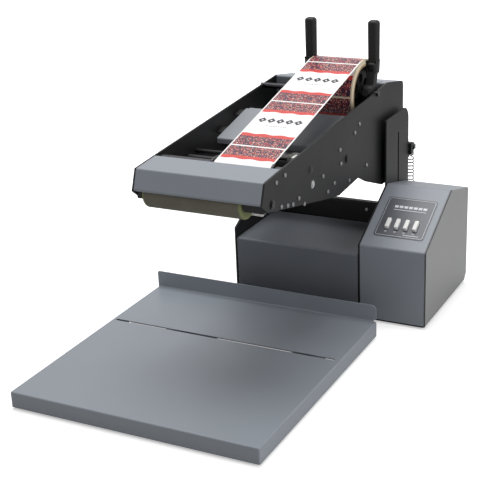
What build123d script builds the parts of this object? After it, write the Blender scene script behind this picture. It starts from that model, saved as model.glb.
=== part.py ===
from build123d import *
import os
from math import asin, atan2, cos, hypot, pi, radians, sin, tan

# Bench position: x runs right from the tray's left edge, y runs back from its front edge,
# z runs up from the bottom edge of the tray. Everything is moved to the part's own origin on export.

# Clearances and roundings that several parts share
bearing_clearance = 0.05
paper_clearance = 0.02
wide_round = 0.45
sheet_bend = 1.5
small_round = 1.5

# Tray
tray_width = 355.0
tray_depth = 372.0
tray_height = 21.8
tray_sheet = 1.5
tray_bend = 2.0
fence_rise = 24.9
fence_corner_left = 3.0
fence_corner_right = 7.0
fence_relief = 4.0
fence_relief_corner = 1.0
slot_y = 241.0
slot_width = 4.5
slot_left = 5.5
slot_right_margin = 8.0

# Frame of the base
frame_left = 109.1
frame_right = 310.5
side_sheet = 2.5
side_corner = 2.0
side_foot_corner = 1.0
base_front = 421.4
frame_rear = 625.4
frame_rear_corner = 10.0
foot_height = 3.0
foot_radius = 8.0
foot_taper = 1.0
foot_inset = 20.0
foot_rear_inset = 30.0
upright_front = 529.3
upright_top = 269.0
upright_corner = 20.0
upright_front_corner = 4.0
lift_slot_y = 580.4
lift_slot_top = 239.2
lift_slot_bottom = 121.0
lift_slot_width = 4.5

# Bottom pan and its forward tongue
pan_sheet = 2.0
pan_front = 14.0
pan_corner = 3.0
pan_flange_height = 17.0
pan_flange_lead = 5.0
pan_tongue_gap = 6.0
pan_rear_flange_front = 10.0
pan_rear_flange_end = 25.0
pan_lip_inset = 10.0
pan_lip_height = 10.0
window_first = 90.0
window_pitch = 110.0
window_count = 3
window_length = 70.0
window_margin = 35.0
window_corner = 12.0

# Cross wall, base cover and rear panel
wall_y = 553.6
wall_top = 130.6
wall_foot = 14.0
wall_head = 10.0
wall_trim_depth = 20.0
wall_tab_rise = 5.0
wall_tab_gap = 2.0
cover_sheet = 1.5
cover_top = 98.7
cover_gap = 1.0
cover_bend = 2.0
cover_rear_drop = 12.0
rear_panel_top = 88.0
rear_panel_inset = 4.4
rear_panel_foot = 16.0
rear_panel_head = 10.0
notch_margin = 1.0
vent_count = 7
vent_pitch = 14.0
vent_width = 4.0
vent_low = 32.0
vent_high = 66.0

# Screws of the frame
frame_screw_start = 25.0
frame_screw_pitch = 65.0
frame_screw_count = 3
frame_screw_rise = 8.0
wall_screw_back = 8.0
wall_screw_low = 38.0
wall_screw_high = 78.0
panel_screw_spread = 60.0
panel_screw_z = 22.0
wall_face_screw_rise = 20.0

# Control box
control_right = 409.7
control_rear = 617.1
control_front_height = 114.0
slant_rear_y = 535.2
slant_rear_z = 171.4
control_rear_height = 151.4
control_chamfer = 9.0
control_bend = 2.0
end_panel_sheet = 2.0
end_panel_seam = 0.5
end_panel_lip = 6.0
end_panel_corner = 4.0
end_lip_corner = 2.5

# Front panel with its keys
overlay_left = 323.0
overlay_right = 397.5
overlay_start = 22.0
overlay_end = 101.0
overlay_sheet = 0.6
overlay_corner = 4.0
key_width = 6.0
key_length = 18.0
key_proud = 5.0
key_corner = 1.6
key_top_round = 1.2
key_pitch = 13.7
key_first_x = 339.0
key_along = 46.0
key_count = 4
key_clearance = 0.3
key_window_margin = 1.0
key_travel = 1.0
key_stem = 4.0
key_foot_drop = 0.4

# Control board
board_depth = 12.0
board_sheet = 1.6
board_corner = 2.0
tact_side = 6.5
tact_height = 4.6
pillar_radius = 3.0
pillar_inset = 5.0
chip_side = 22.0
chip_height = 2.0
plug_length = 40.0
plug_depth = 7.0
plug_inset = 14.0

# Power supply board
supply_left = 40.0
supply_front = 22.0
supply_length = 110.0
supply_depth = 70.0
supply_rise = 8.0
supply_pillar_inset = 6.0
coil_left = 40.0
coil_front = 18.0
coil_length = 28.0
coil_depth = 30.0
coil_height = 24.4
sink_left = 80.0
sink_front = 8.0
sink_sheet = 4.0
sink_depth = 54.0
sink_height = 26.4
capacitor_left = 22.0
capacitor_front = 20.0
capacitor_pitch = 28.0
capacitor_radius = 9.0
capacitor_height = 26.0

# Mains inlet
inlet_x = 343.0
power_z = 38.0
inlet_width = 28.0
inlet_height = 20.0
inlet_depth = 24.0
inlet_flange_width = 42.0
inlet_flange_height = 26.0
inlet_flange_sheet = 3.0
inlet_corner = 3.0
socket_width = 24.0
socket_height = 15.5
socket_depth = 15.0
pin_width = 2.0
pin_height = 4.0
pin_back = 1.0
pin_root = 16.0
pin_spread = 7.0
pin_offset = 2.0

# Power switch
rocker_x = 382.0
rocker_width = 13.0
rocker_height = 19.0
rocker_tilt = 9.0
rocker_wall = 2.0
rocker_rim = 4.0
rocker_rim_sheet = 2.0
rocker_body_depth = 18.0
rocker_pocket = 11.0
rocker_pin_depth = 4.0
rocker_pin_radius = 1.5
rocker_end_gap = 1.2
rocker_side_gap = 0.4
rocker_face = 2.2
rocker_crown = 0.4
rocker_crown_round = 12.0
rocker_corner = 0.5
rocker_back = 6.0
rocker_keel = 7.5
rocker_taper = 2.0
rocker_far_share = 0.4

# Slides of the tray
rail_front = 30.0
rail_rear = 360.0
rail_depth = 8.1
rail_bottom = 3.0
rail_top = 18.0
rail_sheet = 1.2
rail_gap = 0.2
hanger_flange = 12.0
hanger_bend = 1.2

# Head side plates
head_left = 118.6
head_right = 301.0
head_sheet = 2.5
nose_bottom_y = 135.8
nose_bottom_z = 262.1
nose_top_y = 146.2
nose_top_z = 289.4
nose_rear_y = 195.1
nose_rear_z = 293.1
nose_corner = 1.5
nose_rear_corner = 4.0
nose_chin_back = 15.0
nose_chin_drop = 11.5
nose_chin_corner = 7.0
belly_front_y = 346.0
belly_front_z = 207.5
belly_front_corner = 6.0
belly_low_y = 372.5
belly_low_z = 203.1
belly_low_corner = 8.0
belly_rear_y = 442.4
belly_rear_z = 207.3
belly_rear_corner = 10.0
step_y = 474.4
step_z = 191.4
step_corner = 20.0
pivot_lobe_front_y = 536.0
pivot_lobe_front_z = 168.0
pivot_lobe_rear_y = 602.0
pivot_lobe_rear_z = 166.0
pivot_lobe_corner = 12.0
head_top_y = 560.0
head_top_z = 317.9
head_top_corner = 6.0
head_back_y = 620.5
head_back_z = 307.2
head_back_corner = 3.0
head_back_drop = 2.0
head_rear = 626.5
head_rear_corner = 8.0
head_rear_low = 200.0
head_rear_low_corner = 10.0
tail_behind_frame = 27.6
tail_z = 185.0
tail_radius = 8.0
tail_round = 7.0
tail_lead = 6.0
tail_pin_radius = 2.5
tail_cap_radius = 4.0
tail_cap_sheet = 1.2

# Screws seen on the side of the head: the places of the motor bracket's three come first
plate_screw_places = [
    (317.0, 246.9), (355.2, 225.6), (332.4, 220.5), (201.1, 283.2), (176.4, 281.1), (375.7, 266.6),
    (378.3, 246.4), (429.7, 276.4), (446.8, 284.6), (472.6, 217.1), (407.4, 213.6), (240.1, 241.0),
    (188.5, 246.3), (206.5, 242.0), (221.8, 238.5), (256.3, 228.1),
]
bracket_screw_count = 3

# Pivot and lift carriage
pivot_y = 580.0
pivot_z = 213.0
pivot_radius = 5.0
bush_radius = 7.0
bush_flange = 10.0
bush_collar = 1.2
bush_collar_sheet = 1.5
carriage_sheet = 3.0
carriage_gap = 1.0
carriage_front = 562.0
carriage_bottom = 92.0
carriage_corner = 4.0
eye_rise = 19.0
eye_rear_y = 602.0
eye_corner = 14.0
wing_half = 15.0
wing_front_y = 606.0
wing_neck_y = 612.0
wing_corner = 3.0
wing_end_gap = 0.5
arm_rise = 9.0
arm_back = 5.0
arm_corner = 7.0
channel_front_y = 575.0
channel_rear_y = 608.0
channel_low = 112.0
channel_top = 146.0
channel_sheet = 2.5
channel_bend = 2.0
guide_pin_radius = 2.2
guide_pin_low = 128.0
guide_pin_high = 158.0

# Height clamps
clamp_z = 199.0
clamp_block_height = 18.0
clamp_block_start = 627.5
clamp_block_depth = 9.0
clamp_block_out = 4.0
clamp_screw_radius = 2.2
clamp_knob_radius = 7.0
clamp_knob_depth = 8.0
clamp_knob_gap = 0.5
clamp_tip_gap = 0.1
clamp_flute_count = 9
clamp_flute_radius = 2.0
clamp_flute_out = 1.2
clamp_knob_chamfer = 0.5

# Return springs
anchor_z = 103.8
anchor_radius = 2.0
spring_wire = 0.8
spring_radius = 4.7
spring_pitch = 5.5
spring_turns = 11
spring_lead = 1.0
spring_hook_sink = 0.4
spring_eye_gap = 0.9
spring_wire_sides = 6

# Front roller
roller_y = 163.4
roller_z = 256.7
roller_radius = 21.9
roller_left = 128.7
roller_right = 269.0
roller_round = 3.0
roller_shaft_radius = 4.0
roller_sleeve = 6.0
sleeve_left_out = 0.6
sleeve_right_out = 2.0
roller_block_gap = 0.4
roller_block_front = 19.0
roller_block_rear = 12.0
roller_block_low = 7.0
roller_block_top_front = 8.0
roller_block_top_rear = 12.0
roller_block_corner = 3.0

# Shaft ends and their retaining rings outside the head plates
shaft_end = 2.0
clip_gap = 0.1
clip_sheet = 0.8
clip_rise = 2.0

# Label web, turn bar and peel edge
web_left = 200.9
web_right = 280.9
web_sheet = 0.4
turn_bar_y = 208.1
turn_bar_z = 284.3
turn_bar_radius = 6.0
turn_flange_rise = 3.0
turn_flange_sheet = 3.0
turn_flange_gap = 1.0
turn_web_gap = 1.0
peel_y = 208.0
peel_z = 237.2
peel_radius = 1.0
peel_clearance = 0.3
peel_front_gap = 0.6
peel_depth = 14.0
peel_rear_height = 15.0
peel_top = 25.0
peel_top_depth = 5.0
peel_lean = 2.0
peel_corner = 2.0
peel_web_front = 1.5

# Label roll with its core, hub and spindle
roll_y = 515.8
roll_z = 311.5
roll_radius = 48.2
core_radius = 38.1
core_wall = 3.0
spindle_radius = 4.0
spindle_notch_height = 20.0
spindle_end = 3.0
hub_end_gap = 1.0
hub_boss_wall = 5.0
hub_rim_width = 12.0
hub_rim_wall = 3.0
hub_web_sheet = 4.0
hub_hole_count = 6
hub_hole_radius = 7.0

# Label guides beside the roll
guide_y = 532.0
guide_width = 16.0
guide_depth = 11.0
guide_top = 414.0
guide_corner = 4.0
guide_top_round = 5.0
guide_wide_top = 357.0
guide_wide_drop = 20.0
guide_wide_front = 5.0
guide_wide_corner = 3.0
guide_gap = 0.6
guide_pad = 1.0
guide_pad_front = 8.0
guide_pad_rear = 5.0
guide_collar = 13.0
guide_collar_width = 12.0
guide_leg_front = 6.0
guide_leg_rear = 7.0
guide_leg_low = 5.0
guide_leg_drop = 12.0
guide_leg_lean = 9.0
guide_leg_back = 4.0
guide_leg_corner = 2.0
guide_screw_tilt = 75.0
guide_screw_length = 12.0
guide_screw_inset = 7.0
guide_knob_radius = 5.5
guide_knob_depth = 6.0
guide_knob_sink = 0.4
guide_flute_count = 8
guide_flute_radius = 1.5
guide_flute_out = 0.9

# Liner drive
drive_y = 282.5
drive_z = 246.3
drive_radius = 13.0
drive_chamfer = 0.8
roller_over_left = 5.0
roller_over_right = 4.0
groove_inset = 5.0
groove_width = 3.0
groove_depth = 0.6
pinch_radius = 8.0
nip_clearance = 0.04
thin_shaft = 3.0
take_up_y = 400.0
take_up_z = 247.0
take_up_radius = 20.0
take_up_core = 8.0
take_up_clearance = 0.05
take_up_flange_rise = 4.0
take_up_flange_sheet = 3.0

# Belt drive and motor
motor_y = 338.0
motor_z = 240.0
motor_radius = 18.0
gearbox_length = 22.0
gearbox_chamfer = 1.0
can_step = 1.5
can_length = 36.0
can_groove_depth = 2.2
can_groove_start = 5.0
can_groove_pitch = 9.0
can_groove_width = 2.0
can_groove_count = 3
tail_boss_radius = 5.0
tail_boss_length = 4.0
connector_start = 50.0
connector_end = 64.0
connector_half = 6.0
connector_low = 9.0
connector_high = 14.0
shaft_clearance = 0.4
drive_pulley_radius = 14.0
motor_pulley_radius = 8.0
pulley_width = 7.0
pulley_inset = 4.0
pulley_flange_rise = 2.0
pulley_flange_sheet = 1.2
pulley_hole_count = 6
pulley_hole_radius = 2.0
pulley_hole_inset = 5.0
pulley_hub = 2.0
belt_sheet = 1.2
belt_inset = 0.5
bracket_gap = 7.0
bracket_sheet = 2.5
bracket_front = 27.0
bracket_rear = 26.0
bracket_low = 25.0
bracket_high = 18.0
bracket_low_corner = 5.0
bracket_high_corner = 8.0
bracket_post_radius = 3.5

# Cross bars and label sensor
tie_rod_places = [(536.0, 190.0), (458.0, 222.0), (249.0, 238.0), (590.0, 292.0)]
tie_rod_radius = 5.0
sensor_y = 299.0
sensor_z = 270.0
sensor_front = 10.0
sensor_rear = 12.0
sensor_low = 6.0
sensor_high = 8.0
sensor_width = 17.0
sensor_inset = 18.0

# Covers of the head
nose_rear_lip = 8.0
nose_lip_back = 4.5
nose_lip_drop = 0.4
nose_bend = 1.2
deck_left = 130.0
deck_front_y = 342.6
deck_front_z = 276.9
deck_rear_y = 440.0
deck_rear_z = 297.5
deck_lip = 8.0
deck_lip_lean = 1.0
deck_rear_lip = 10.0
deck_tab_front = 25.0
deck_tab_rear = 18.0
deck_tab_half = 8.0
deck_tab_overlap = 1.0
deck_notch = 5.0
housing_front = 557.0
housing_front_rise = 0.6
housing_bottom = 250.0
housing_rear_bottom = 214.0
housing_rear_lean = 1.5
housing_corner_drop = 4.0
housing_roll_gap = 5.0
housing_cut_left = 6.0
housing_cut_right = 2.0
housing_hole_radius = 3.5
housing_hole_inset = 12.0

# Fasteners
screw_radius = 3.0
screw_shank = 1.6
screw_head = 1.4
screw_round = 0.84


def direction(first, second):
    """Unit step from one (u, v) point to the next"""
    du = second[0] - first[0]
    dv = second[1] - first[1]
    length = hypot(du, dv)
    return du / length, dv / length


def outline(corners):
    """Face from corners given as (u, v, radius)"""
    edges = []
    ends = []
    count = len(corners)
    for i in range(count):
        u, v, radius = corners[i]
        before = direction(corners[i], corners[i - 1])
        after = direction(corners[i], corners[(i + 1) % count])
        dot = before[0] * after[0] + before[1] * after[1]
        cross = abs(before[0] * after[1] - before[1] * after[0])
        half = (pi - atan2(cross, dot)) / 2
        cut = radius * tan(half)
        start = (u + before[0] * cut, v + before[1] * cut)
        end = (u + after[0] * cut, v + after[1] * cut)
        ends.append((start, end))
        if radius > 0:
            reach = radius / cos(half) - radius
            middle = direction((0, 0), (before[0] + after[0], before[1] + after[1]))
            peak = (u + middle[0] * reach, v + middle[1] * reach)
            edges.append(ThreePointArc(start, peak, end))
    for i in range(count):
        edges.append(Line(ends[i - 1][1], ends[i][0]))
    return make_face(edges)


def across(face, x_start, x_end):
    """Solid from a (y, z) face, between two x places"""
    placed = Plane.YZ.offset(x_start) * face
    return extrude(placed, amount=x_end - x_start, dir=(1, 0, 0))


def shifted(points, distance):
    """Open path moved sideways to its left with mitred corners"""
    moved = []
    for i, (u, v) in enumerate(points):
        steps = []
        if i > 0:
            steps.append(direction(points[i - 1], points[i]))
        if i < len(points) - 1:
            steps.append(direction(points[i], points[i + 1]))
        nu = sum(-step[1] for step in steps) / len(steps)
        nv = sum(step[0] for step in steps) / len(steps)
        scale = distance / (nu * nu + nv * nv)
        moved.append((u + nu * scale, v + nv * scale))
    return moved


def folded_face(points, sheet, bends):
    """Cross-section of a folded sheet: the path is its right face, the sheet lies to the left"""
    outer = []
    inner = []
    for i, (point, other) in enumerate(zip(points, shifted(points, sheet))):
        near = 0.0
        far = 0.0
        if 0 < i < len(points) - 1:
            before = direction(points[i - 1], points[i])
            after = direction(points[i], points[i + 1])
            left_turn = before[0] * after[1] - before[1] * after[0] > 0
            bend = bends[i - 1]
            near = bend + sheet if left_turn else bend
            far = bend if left_turn else bend + sheet
        outer.append((point[0], point[1], near))
        inner.append((other[0], other[1], far))
    return outline(outer + inner[::-1])


def folded(points, sheet, bend, x_start, x_end):
    """Folded sheet with its (y, z) path carried across in x"""
    return across(folded_face(points, sheet, [bend] * (len(points) - 2)), x_start, x_end)


def rod(y, z, radius, x_start, x_end):
    """Round bar along x"""
    return across(Pos(y, z) * Circle(radius), x_start, x_end)


def ring(y, z, radius, bore, x_start, x_end):
    """Round tube along x"""
    return across(Pos(y, z) * (Circle(radius) - Circle(bore)), x_start, x_end)


def block(x_start, x_end, y_start, y_end, z_start, z_end):
    """Box from its six faces"""
    size = Box(x_end - x_start, y_end - y_start, z_end - z_start)
    return Pos((x_start + x_end) / 2, (y_start + y_end) / 2, (z_start + z_end) / 2) * size


def centred_block(x, z, width, height, y_start, y_end):
    """Box along y with its cross-section centred on (x, z)"""
    return block(x - width / 2, x + width / 2, y_start, y_end, z - height / 2, z + height / 2)


def mirrored(solid):
    """The same solid on the other side of the frame"""
    return mirror(solid, about=Plane.YZ.offset(frame_middle))


def upright(radius, height):
    """Cylinder that stands on its own plane"""
    return Cylinder(radius, height, align=(Align.CENTER, Align.CENTER, Align.MIN))


def fluted_knob(radius, depth, flutes, flute_radius, flute_out):
    """Knob with grip flutes round its rim"""
    knob = upright(radius, depth)
    flute = Pos(radius + flute_out, 0, 0) * upright(flute_radius, depth)
    for step in range(flutes):
        knob -= Rot(0, 0, step * 360 / flutes) * flute
    return knob


def side_screw(x_face, y, z, outward, grip):
    """Pan-head screw along x with its head on the face at x_face"""
    crown = x_face + outward * screw_head
    head = rod(y, z, screw_radius, min(x_face, crown), max(x_face, crown))
    edge = head.edges().filter_by(GeomType.CIRCLE).sort_by(Axis.X)[-1 if outward > 0 else 0]
    inner = x_face - outward * grip
    return fillet(edge, screw_round) + rod(y, z, screw_shank, min(x_face, inner), max(x_face, inner))


def clipped_shaft(y, z, radius):
    """Shaft through both head plates with a retaining ring outside each of them"""
    shaft = rod(y, z, radius, head_left - shaft_end, head_right + shaft_end)
    left_clip = head_left - clip_gap - clip_sheet
    right_clip = head_right + clip_gap
    for x in (left_clip, right_clip):
        shaft += rod(y, z, radius + clip_rise, x, x + clip_sheet)
    return shaft


def top_slope(first, first_radius, second, second_radius):
    """Slope of the line that touches the tops of two circles"""
    dy = second[0] - first[0]
    dz = second[1] - first[1]
    return atan2(dz, dy) + asin((second_radius - first_radius) / hypot(dy, dz))


# Places of the frame, the head and the tray that follow from the sizes above
frame_middle = (frame_left + frame_right) / 2
frame_inner_left = frame_left + side_sheet
frame_inner_right = frame_right - side_sheet
tray_under = tray_height - tray_sheet
slant_angle = atan2(slant_rear_z - control_front_height, slant_rear_y - base_front)
slant_z = control_front_height + (upright_front - base_front) * tan(slant_angle)
head_inner_left = head_left + head_sheet
head_inner_right = head_right - head_sheet
carriage_right = frame_inner_right - carriage_gap
carriage_left = frame_inner_left + carriage_gap
tail_y = frame_rear + tail_behind_frame
rear_most = tail_y + tail_radius

# Places of the belt drive
pulley_start = head_inner_left + pulley_inset
bracket_x = pulley_start + pulley_width + bracket_gap
bracket_end = bracket_x + bracket_sheet

# Run of the web: off the roll, over the turn bar, round the peel edge and through the nip
web_angle = atan2(deck_rear_z - deck_front_z, deck_rear_y - deck_front_y)
liner_start = (peel_y - peel_radius, peel_z - peel_radius - web_sheet)
liner_slope = top_slope(liner_start, 0.0, (drive_y, drive_z), drive_radius)
exit_slope = top_slope((drive_y, drive_z), drive_radius, (take_up_y, take_up_z), take_up_radius)
nip_lean = (liner_slope + exit_slope) / 2
pinch_reach = drive_radius + web_sheet + pinch_radius + nip_clearance
pinch_y = drive_y - pinch_reach * sin(nip_lean)
pinch_z = drive_z + pinch_reach * cos(nip_lean)

# The part's origin: middle of its footprint, on the bench
origin_shift = Pos(-control_right / 2, -rear_most / 2, foot_height)


def slant_plane(x):
    """Plane lying on the slanted front of the control box: its y runs up the slant, its z out of it"""
    normal = (0, -sin(slant_angle), cos(slant_angle))
    return Plane(origin=(x, base_front, control_front_height), x_dir=(1, 0, 0), z_dir=normal)


def make_tray():
    """Folded tray with its rear fence and the long slot"""
    body = block(0, tray_width, 0, tray_depth, 0, tray_height)
    upper = body.edges().group_by(Axis.Z)[-1].filter_by(Axis.Y)
    upper += body.edges().group_by(Axis.Z)[-1].filter_by(Axis.X).sort_by(Axis.Y)[:1]
    corners = body.edges().filter_by(Axis.Z).group_by(Axis.Y)[0]
    body = fillet(upper + corners, tray_bend)
    body -= block(tray_sheet, tray_width - tray_sheet, tray_sheet, tray_depth, 0, tray_under)
    relief_x = tray_width - fence_relief
    relief_z = tray_height + fence_relief
    fence_top = tray_height + fence_rise
    fence = Plane.XZ.offset(-tray_depth) * outline([
        (0, tray_under, 0),
        (relief_x, tray_under, 0),
        (relief_x, relief_z, fence_relief_corner),
        (tray_width, relief_z, fence_relief_corner),
        (tray_width, fence_top, fence_corner_right),
        (0, fence_top, fence_corner_left),
    ])
    body += extrude(fence, amount=tray_sheet, dir=(0, -1, 0))
    slot_end = tray_width - slot_right_margin
    slot = block(slot_left, slot_end, slot_y - slot_width / 2, slot_y + slot_width / 2, 0, tray_height)
    slot = fillet(slot.edges().filter_by(Axis.Z), slot_width * wide_round)
    corner = tray_depth - tray_sheet
    bend_top = tray_height + tray_bend
    bend_fill = block(tray_sheet, relief_x, corner - tray_bend, corner, tray_height, bend_top)
    bend_fill -= rod(corner - tray_bend, bend_top, tray_bend, 0, tray_width)
    return body + bend_fill - slot


def make_outer_rails():
    """Channels fixed to the sides of the base tongue"""
    start = frame_left - rail_depth
    channel = block(start, frame_left, rail_front, rail_rear, rail_bottom, rail_top)
    low = rail_bottom + rail_sheet
    high = rail_top - rail_sheet
    channel -= block(start, frame_left - rail_sheet, rail_front, rail_rear, low, high)
    return Compound(children=[channel, mirrored(channel)])


def make_runners():
    """Sliding members that run in the channels, each on the angle that hangs from the tray"""
    low = rail_bottom + rail_sheet + rail_gap
    high = rail_top - rail_sheet - rail_gap
    wall_x = frame_left - rail_depth - rail_sheet / 2
    inner_x = frame_left - rail_sheet - 2 * rail_gap
    member = block(wall_x, inner_x, rail_front, rail_rear, low, high)
    member -= block(wall_x + rail_sheet, inner_x, rail_front, rail_rear, low + rail_sheet, high - rail_sheet)
    hanger_low = rail_bottom + 2 * rail_sheet
    flange_low = tray_under - tray_sheet
    hanger = block(wall_x - tray_sheet, wall_x, rail_front, rail_rear, hanger_low, tray_under)
    hanger += block(wall_x - hanger_flange, wall_x, rail_front, rail_rear, flange_low, tray_under)
    bend = hanger.edges().filter_by(Axis.Y).group_by(Axis.X)[-1].sort_by(Axis.Z)[-1:]
    runner = fillet(bend, hanger_bend) + member
    return Compound(children=[runner, mirrored(runner)])


def frame_screw_places():
    """Screws through the side plates: a row into the pan, then two into the cross wall"""
    low = pan_sheet + frame_screw_rise
    steps = range(frame_screw_count)
    row = [(base_front + frame_screw_start + step * frame_screw_pitch, low) for step in steps]
    wall_screw_y = wall_y + wall_screw_back
    return row + [(wall_screw_y, wall_screw_low), (wall_screw_y, wall_screw_high)]


def make_pan():
    """Bottom sheet: forward tongue under the tray, frame floor and floor of the control box"""
    box_right = control_right - end_panel_sheet
    box_rear = control_rear - control_chamfer
    sheet = Plane.XY * outline([
        (frame_left, pan_front, pan_corner),
        (frame_right, pan_front, pan_corner),
        (frame_right, base_front, 0),
        (box_right, base_front, pan_corner),
        (box_right, box_rear, pan_corner),
        (frame_right, box_rear, 0),
        (frame_right, frame_rear, pan_corner),
        (frame_left, frame_rear, pan_corner),
    ])
    pan = extrude(sheet, amount=pan_sheet)
    flange_start = rail_front - pan_flange_lead
    flange_end = base_front - pan_tongue_gap
    flange = block(frame_left, frame_left + pan_sheet, flange_start, flange_end, 0, pan_flange_height)
    rear_start = base_front + pan_rear_flange_front
    rear_end = frame_rear - pan_rear_flange_end
    inner_end = frame_inner_left + pan_sheet
    rear_flange = block(frame_inner_left, inner_end, rear_start, rear_end, 0, pan_flange_height)
    lip_start = frame_left + pan_lip_inset
    lip_end = frame_right - pan_lip_inset
    front_lip = block(lip_start, lip_end, pan_front, pan_front + pan_sheet, 0, pan_lip_height)
    pan += [flange, mirrored(flange), rear_flange, mirrored(rear_flange), front_lip]
    for step in range(window_count):
        y = window_first + step * window_pitch
        window_left = frame_left + window_margin
        window_right = frame_right - window_margin
        window = block(window_left, window_right, y - window_length / 2, y + window_length / 2, 0, pan_sheet)
        pan -= fillet(window.edges().filter_by(Axis.Z), window_corner)
    for y, z in frame_screw_places()[:frame_screw_count]:
        pan -= rod(y, z, screw_shank + bearing_clearance, frame_left, frame_right)
    return pan


def side_profile():
    """Outline shared by both side plates of the frame"""
    return outline([
        (base_front, pan_sheet, side_foot_corner),
        (base_front, control_front_height, side_corner),
        (upright_front, slant_z, side_corner),
        (upright_front, upright_top, upright_front_corner),
        (frame_rear, upright_top, upright_corner),
        (frame_rear, pan_sheet, frame_rear_corner),
    ])


def make_side_plate(left):
    """Side plate with its upright and the lift slot"""
    start = frame_left if left else frame_inner_right
    plate = across(side_profile(), start, start + side_sheet)
    slot = SlotOverall(lift_slot_top - lift_slot_bottom, lift_slot_width, rotation=90)
    place = Pos(lift_slot_y, (lift_slot_top + lift_slot_bottom) / 2)
    plate -= across(place * slot, start, start + side_sheet)
    for y, z in frame_screw_places():
        plate -= rod(y, z, screw_shank + bearing_clearance, start, start + side_sheet)
    return plate


def make_cross_wall():
    """Upright wall behind the base cover, flanged to the pan and both side plates"""
    path = [
        (wall_y + wall_head, wall_top),
        (wall_y, wall_top),
        (wall_y, pan_sheet),
        (wall_y + wall_foot, pan_sheet),
    ]
    wall = folded(path, cover_sheet, sheet_bend, frame_inner_left, frame_inner_right)
    trim_end = wall_y + wall_trim_depth
    trim = block(frame_inner_left, head_inner_left, wall_y, trim_end, cover_top + cover_gap, wall_top)
    notch_end = frame_inner_left + pan_sheet + bearing_clearance
    notch_top = pan_flange_height + notch_margin
    notch = block(frame_inner_left, notch_end, wall_y, trim_end, pan_sheet, notch_top)
    wall -= [trim, mirrored(trim), notch, mirrored(notch)]
    tab_low = pan_flange_height + wall_tab_rise
    tab_high = carriage_bottom - wall_tab_gap
    tab = block(frame_inner_left, frame_inner_left + pan_sheet, wall_y, wall_y + wall_foot, tab_low, tab_high)
    wall += [tab, mirrored(tab)]
    for y, z in frame_screw_places()[frame_screw_count:]:
        wall -= rod(y, z, screw_shank + bearing_clearance, frame_inner_left, frame_inner_right)
    return wall


def make_base_cover():
    """Dark cover between the side plates"""
    path = [
        (wall_y, cover_top - cover_rear_drop),
        (wall_y, cover_top),
        (base_front, cover_top),
        (base_front, pan_sheet),
    ]
    return folded(path, cover_sheet, cover_bend, frame_inner_left + cover_gap, frame_inner_right - cover_gap)


def make_rear_panel():
    """Rear closing panel with its vent slots"""
    y = frame_rear - rear_panel_inset
    foot_y = y - rear_panel_foot
    path = [(foot_y, pan_sheet), (y, pan_sheet), (y, rear_panel_top), (y - rear_panel_head, rear_panel_top)]
    panel = folded(path, cover_sheet, sheet_bend, frame_inner_left, frame_inner_right)
    relief_x = frame_inner_left + pan_sheet + bearing_clearance
    relief_end = y - cover_sheet - notch_margin
    relief_top = pan_flange_height + notch_margin
    relief = block(frame_inner_left, relief_x, foot_y, relief_end, pan_sheet, relief_top)
    panel -= [relief, mirrored(relief)]
    for step in range(vent_count):
        x = frame_middle + (step - (vent_count - 1) / 2) * vent_pitch
        vent = block(x - vent_width / 2, x + vent_width / 2, y - cover_sheet, y, vent_low, vent_high)
        panel -= fillet(vent.edges().filter_by(Axis.Y), vent_width * wide_round)
    return panel


def make_control_cover():
    """Folded cover of the control box"""
    end = control_right - end_panel_sheet - end_panel_seam
    path = [
        (control_rear - control_chamfer, pan_sheet),
        (control_rear, pan_sheet + control_chamfer),
        (control_rear, control_rear_height),
        (slant_rear_y, slant_rear_z),
        (base_front, control_front_height),
        (base_front, pan_sheet),
    ]
    cover = folded(path, cover_sheet, control_bend, frame_right, end)
    window_place = slant_plane((overlay_left + overlay_right) / 2) * Pos(0, key_along, -cover_sheet)
    window = Rectangle(key_pitch * key_count, key_length + 2 * key_window_margin)
    cover -= window_place * extrude(window, cover_sheet)
    wall_start = control_rear - cover_sheet
    cover -= centred_block(inlet_x, power_z, inlet_width, inlet_height, wall_start, control_rear)
    hole_width = rocker_width + 2 * rocker_wall
    hole_height = rocker_height + 2 * rocker_wall
    return cover - centred_block(rocker_x, power_z, hole_width, hole_height, wall_start, control_rear)


def end_profile(inset, corner):
    """Outline of the control box seen from its end, moved in by inset"""
    path = [
        (base_front, pan_sheet),
        (control_rear - control_chamfer, pan_sheet),
        (control_rear, pan_sheet + control_chamfer),
        (control_rear, control_rear_height),
        (slant_rear_y, slant_rear_z),
        (base_front, control_front_height),
        (base_front, pan_sheet),
        (control_rear - control_chamfer, pan_sheet),
    ]
    moved = shifted(path, inset)[1:-1]
    return outline([(y, z, corner) for y, z in moved])


def make_end_panel():
    """Right end of the control box with the lip that the cover screws to"""
    face_start = control_right - end_panel_sheet
    panel = across(end_profile(0.0, end_panel_corner), face_start, control_right)
    rim = panel.edges().group_by(Axis.X)[-1]
    panel = fillet(rim, end_panel_sheet * wide_round)
    lip_start = face_start - end_panel_lip
    lip = across(end_profile(cover_sheet, end_lip_corner), lip_start, face_start)
    lip -= across(end_profile(2 * cover_sheet, end_lip_corner - cover_sheet), lip_start, face_start)
    return panel + lip


def key_places():
    """Middle of each key across the panel"""
    return [key_first_x + step * key_pitch for step in range(key_count)]


def make_overlay():
    """Thin panel film on the slant, cut out for the keys"""
    width = overlay_right - overlay_left
    length = overlay_end - overlay_start
    plane = slant_plane(overlay_left + width / 2) * Pos(0, overlay_start + length / 2, 0)
    overlay = plane * extrude(RectangleRounded(width, length, overlay_corner), overlay_sheet)
    hole_width = key_width + 2 * key_clearance
    hole_length = key_length + 2 * key_clearance
    hole = extrude(RectangleRounded(hole_width, hole_length, key_corner + key_clearance), overlay_sheet)
    for x in key_places():
        overlay -= slant_plane(x) * Pos(0, key_along, 0) * hole
    return overlay


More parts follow.
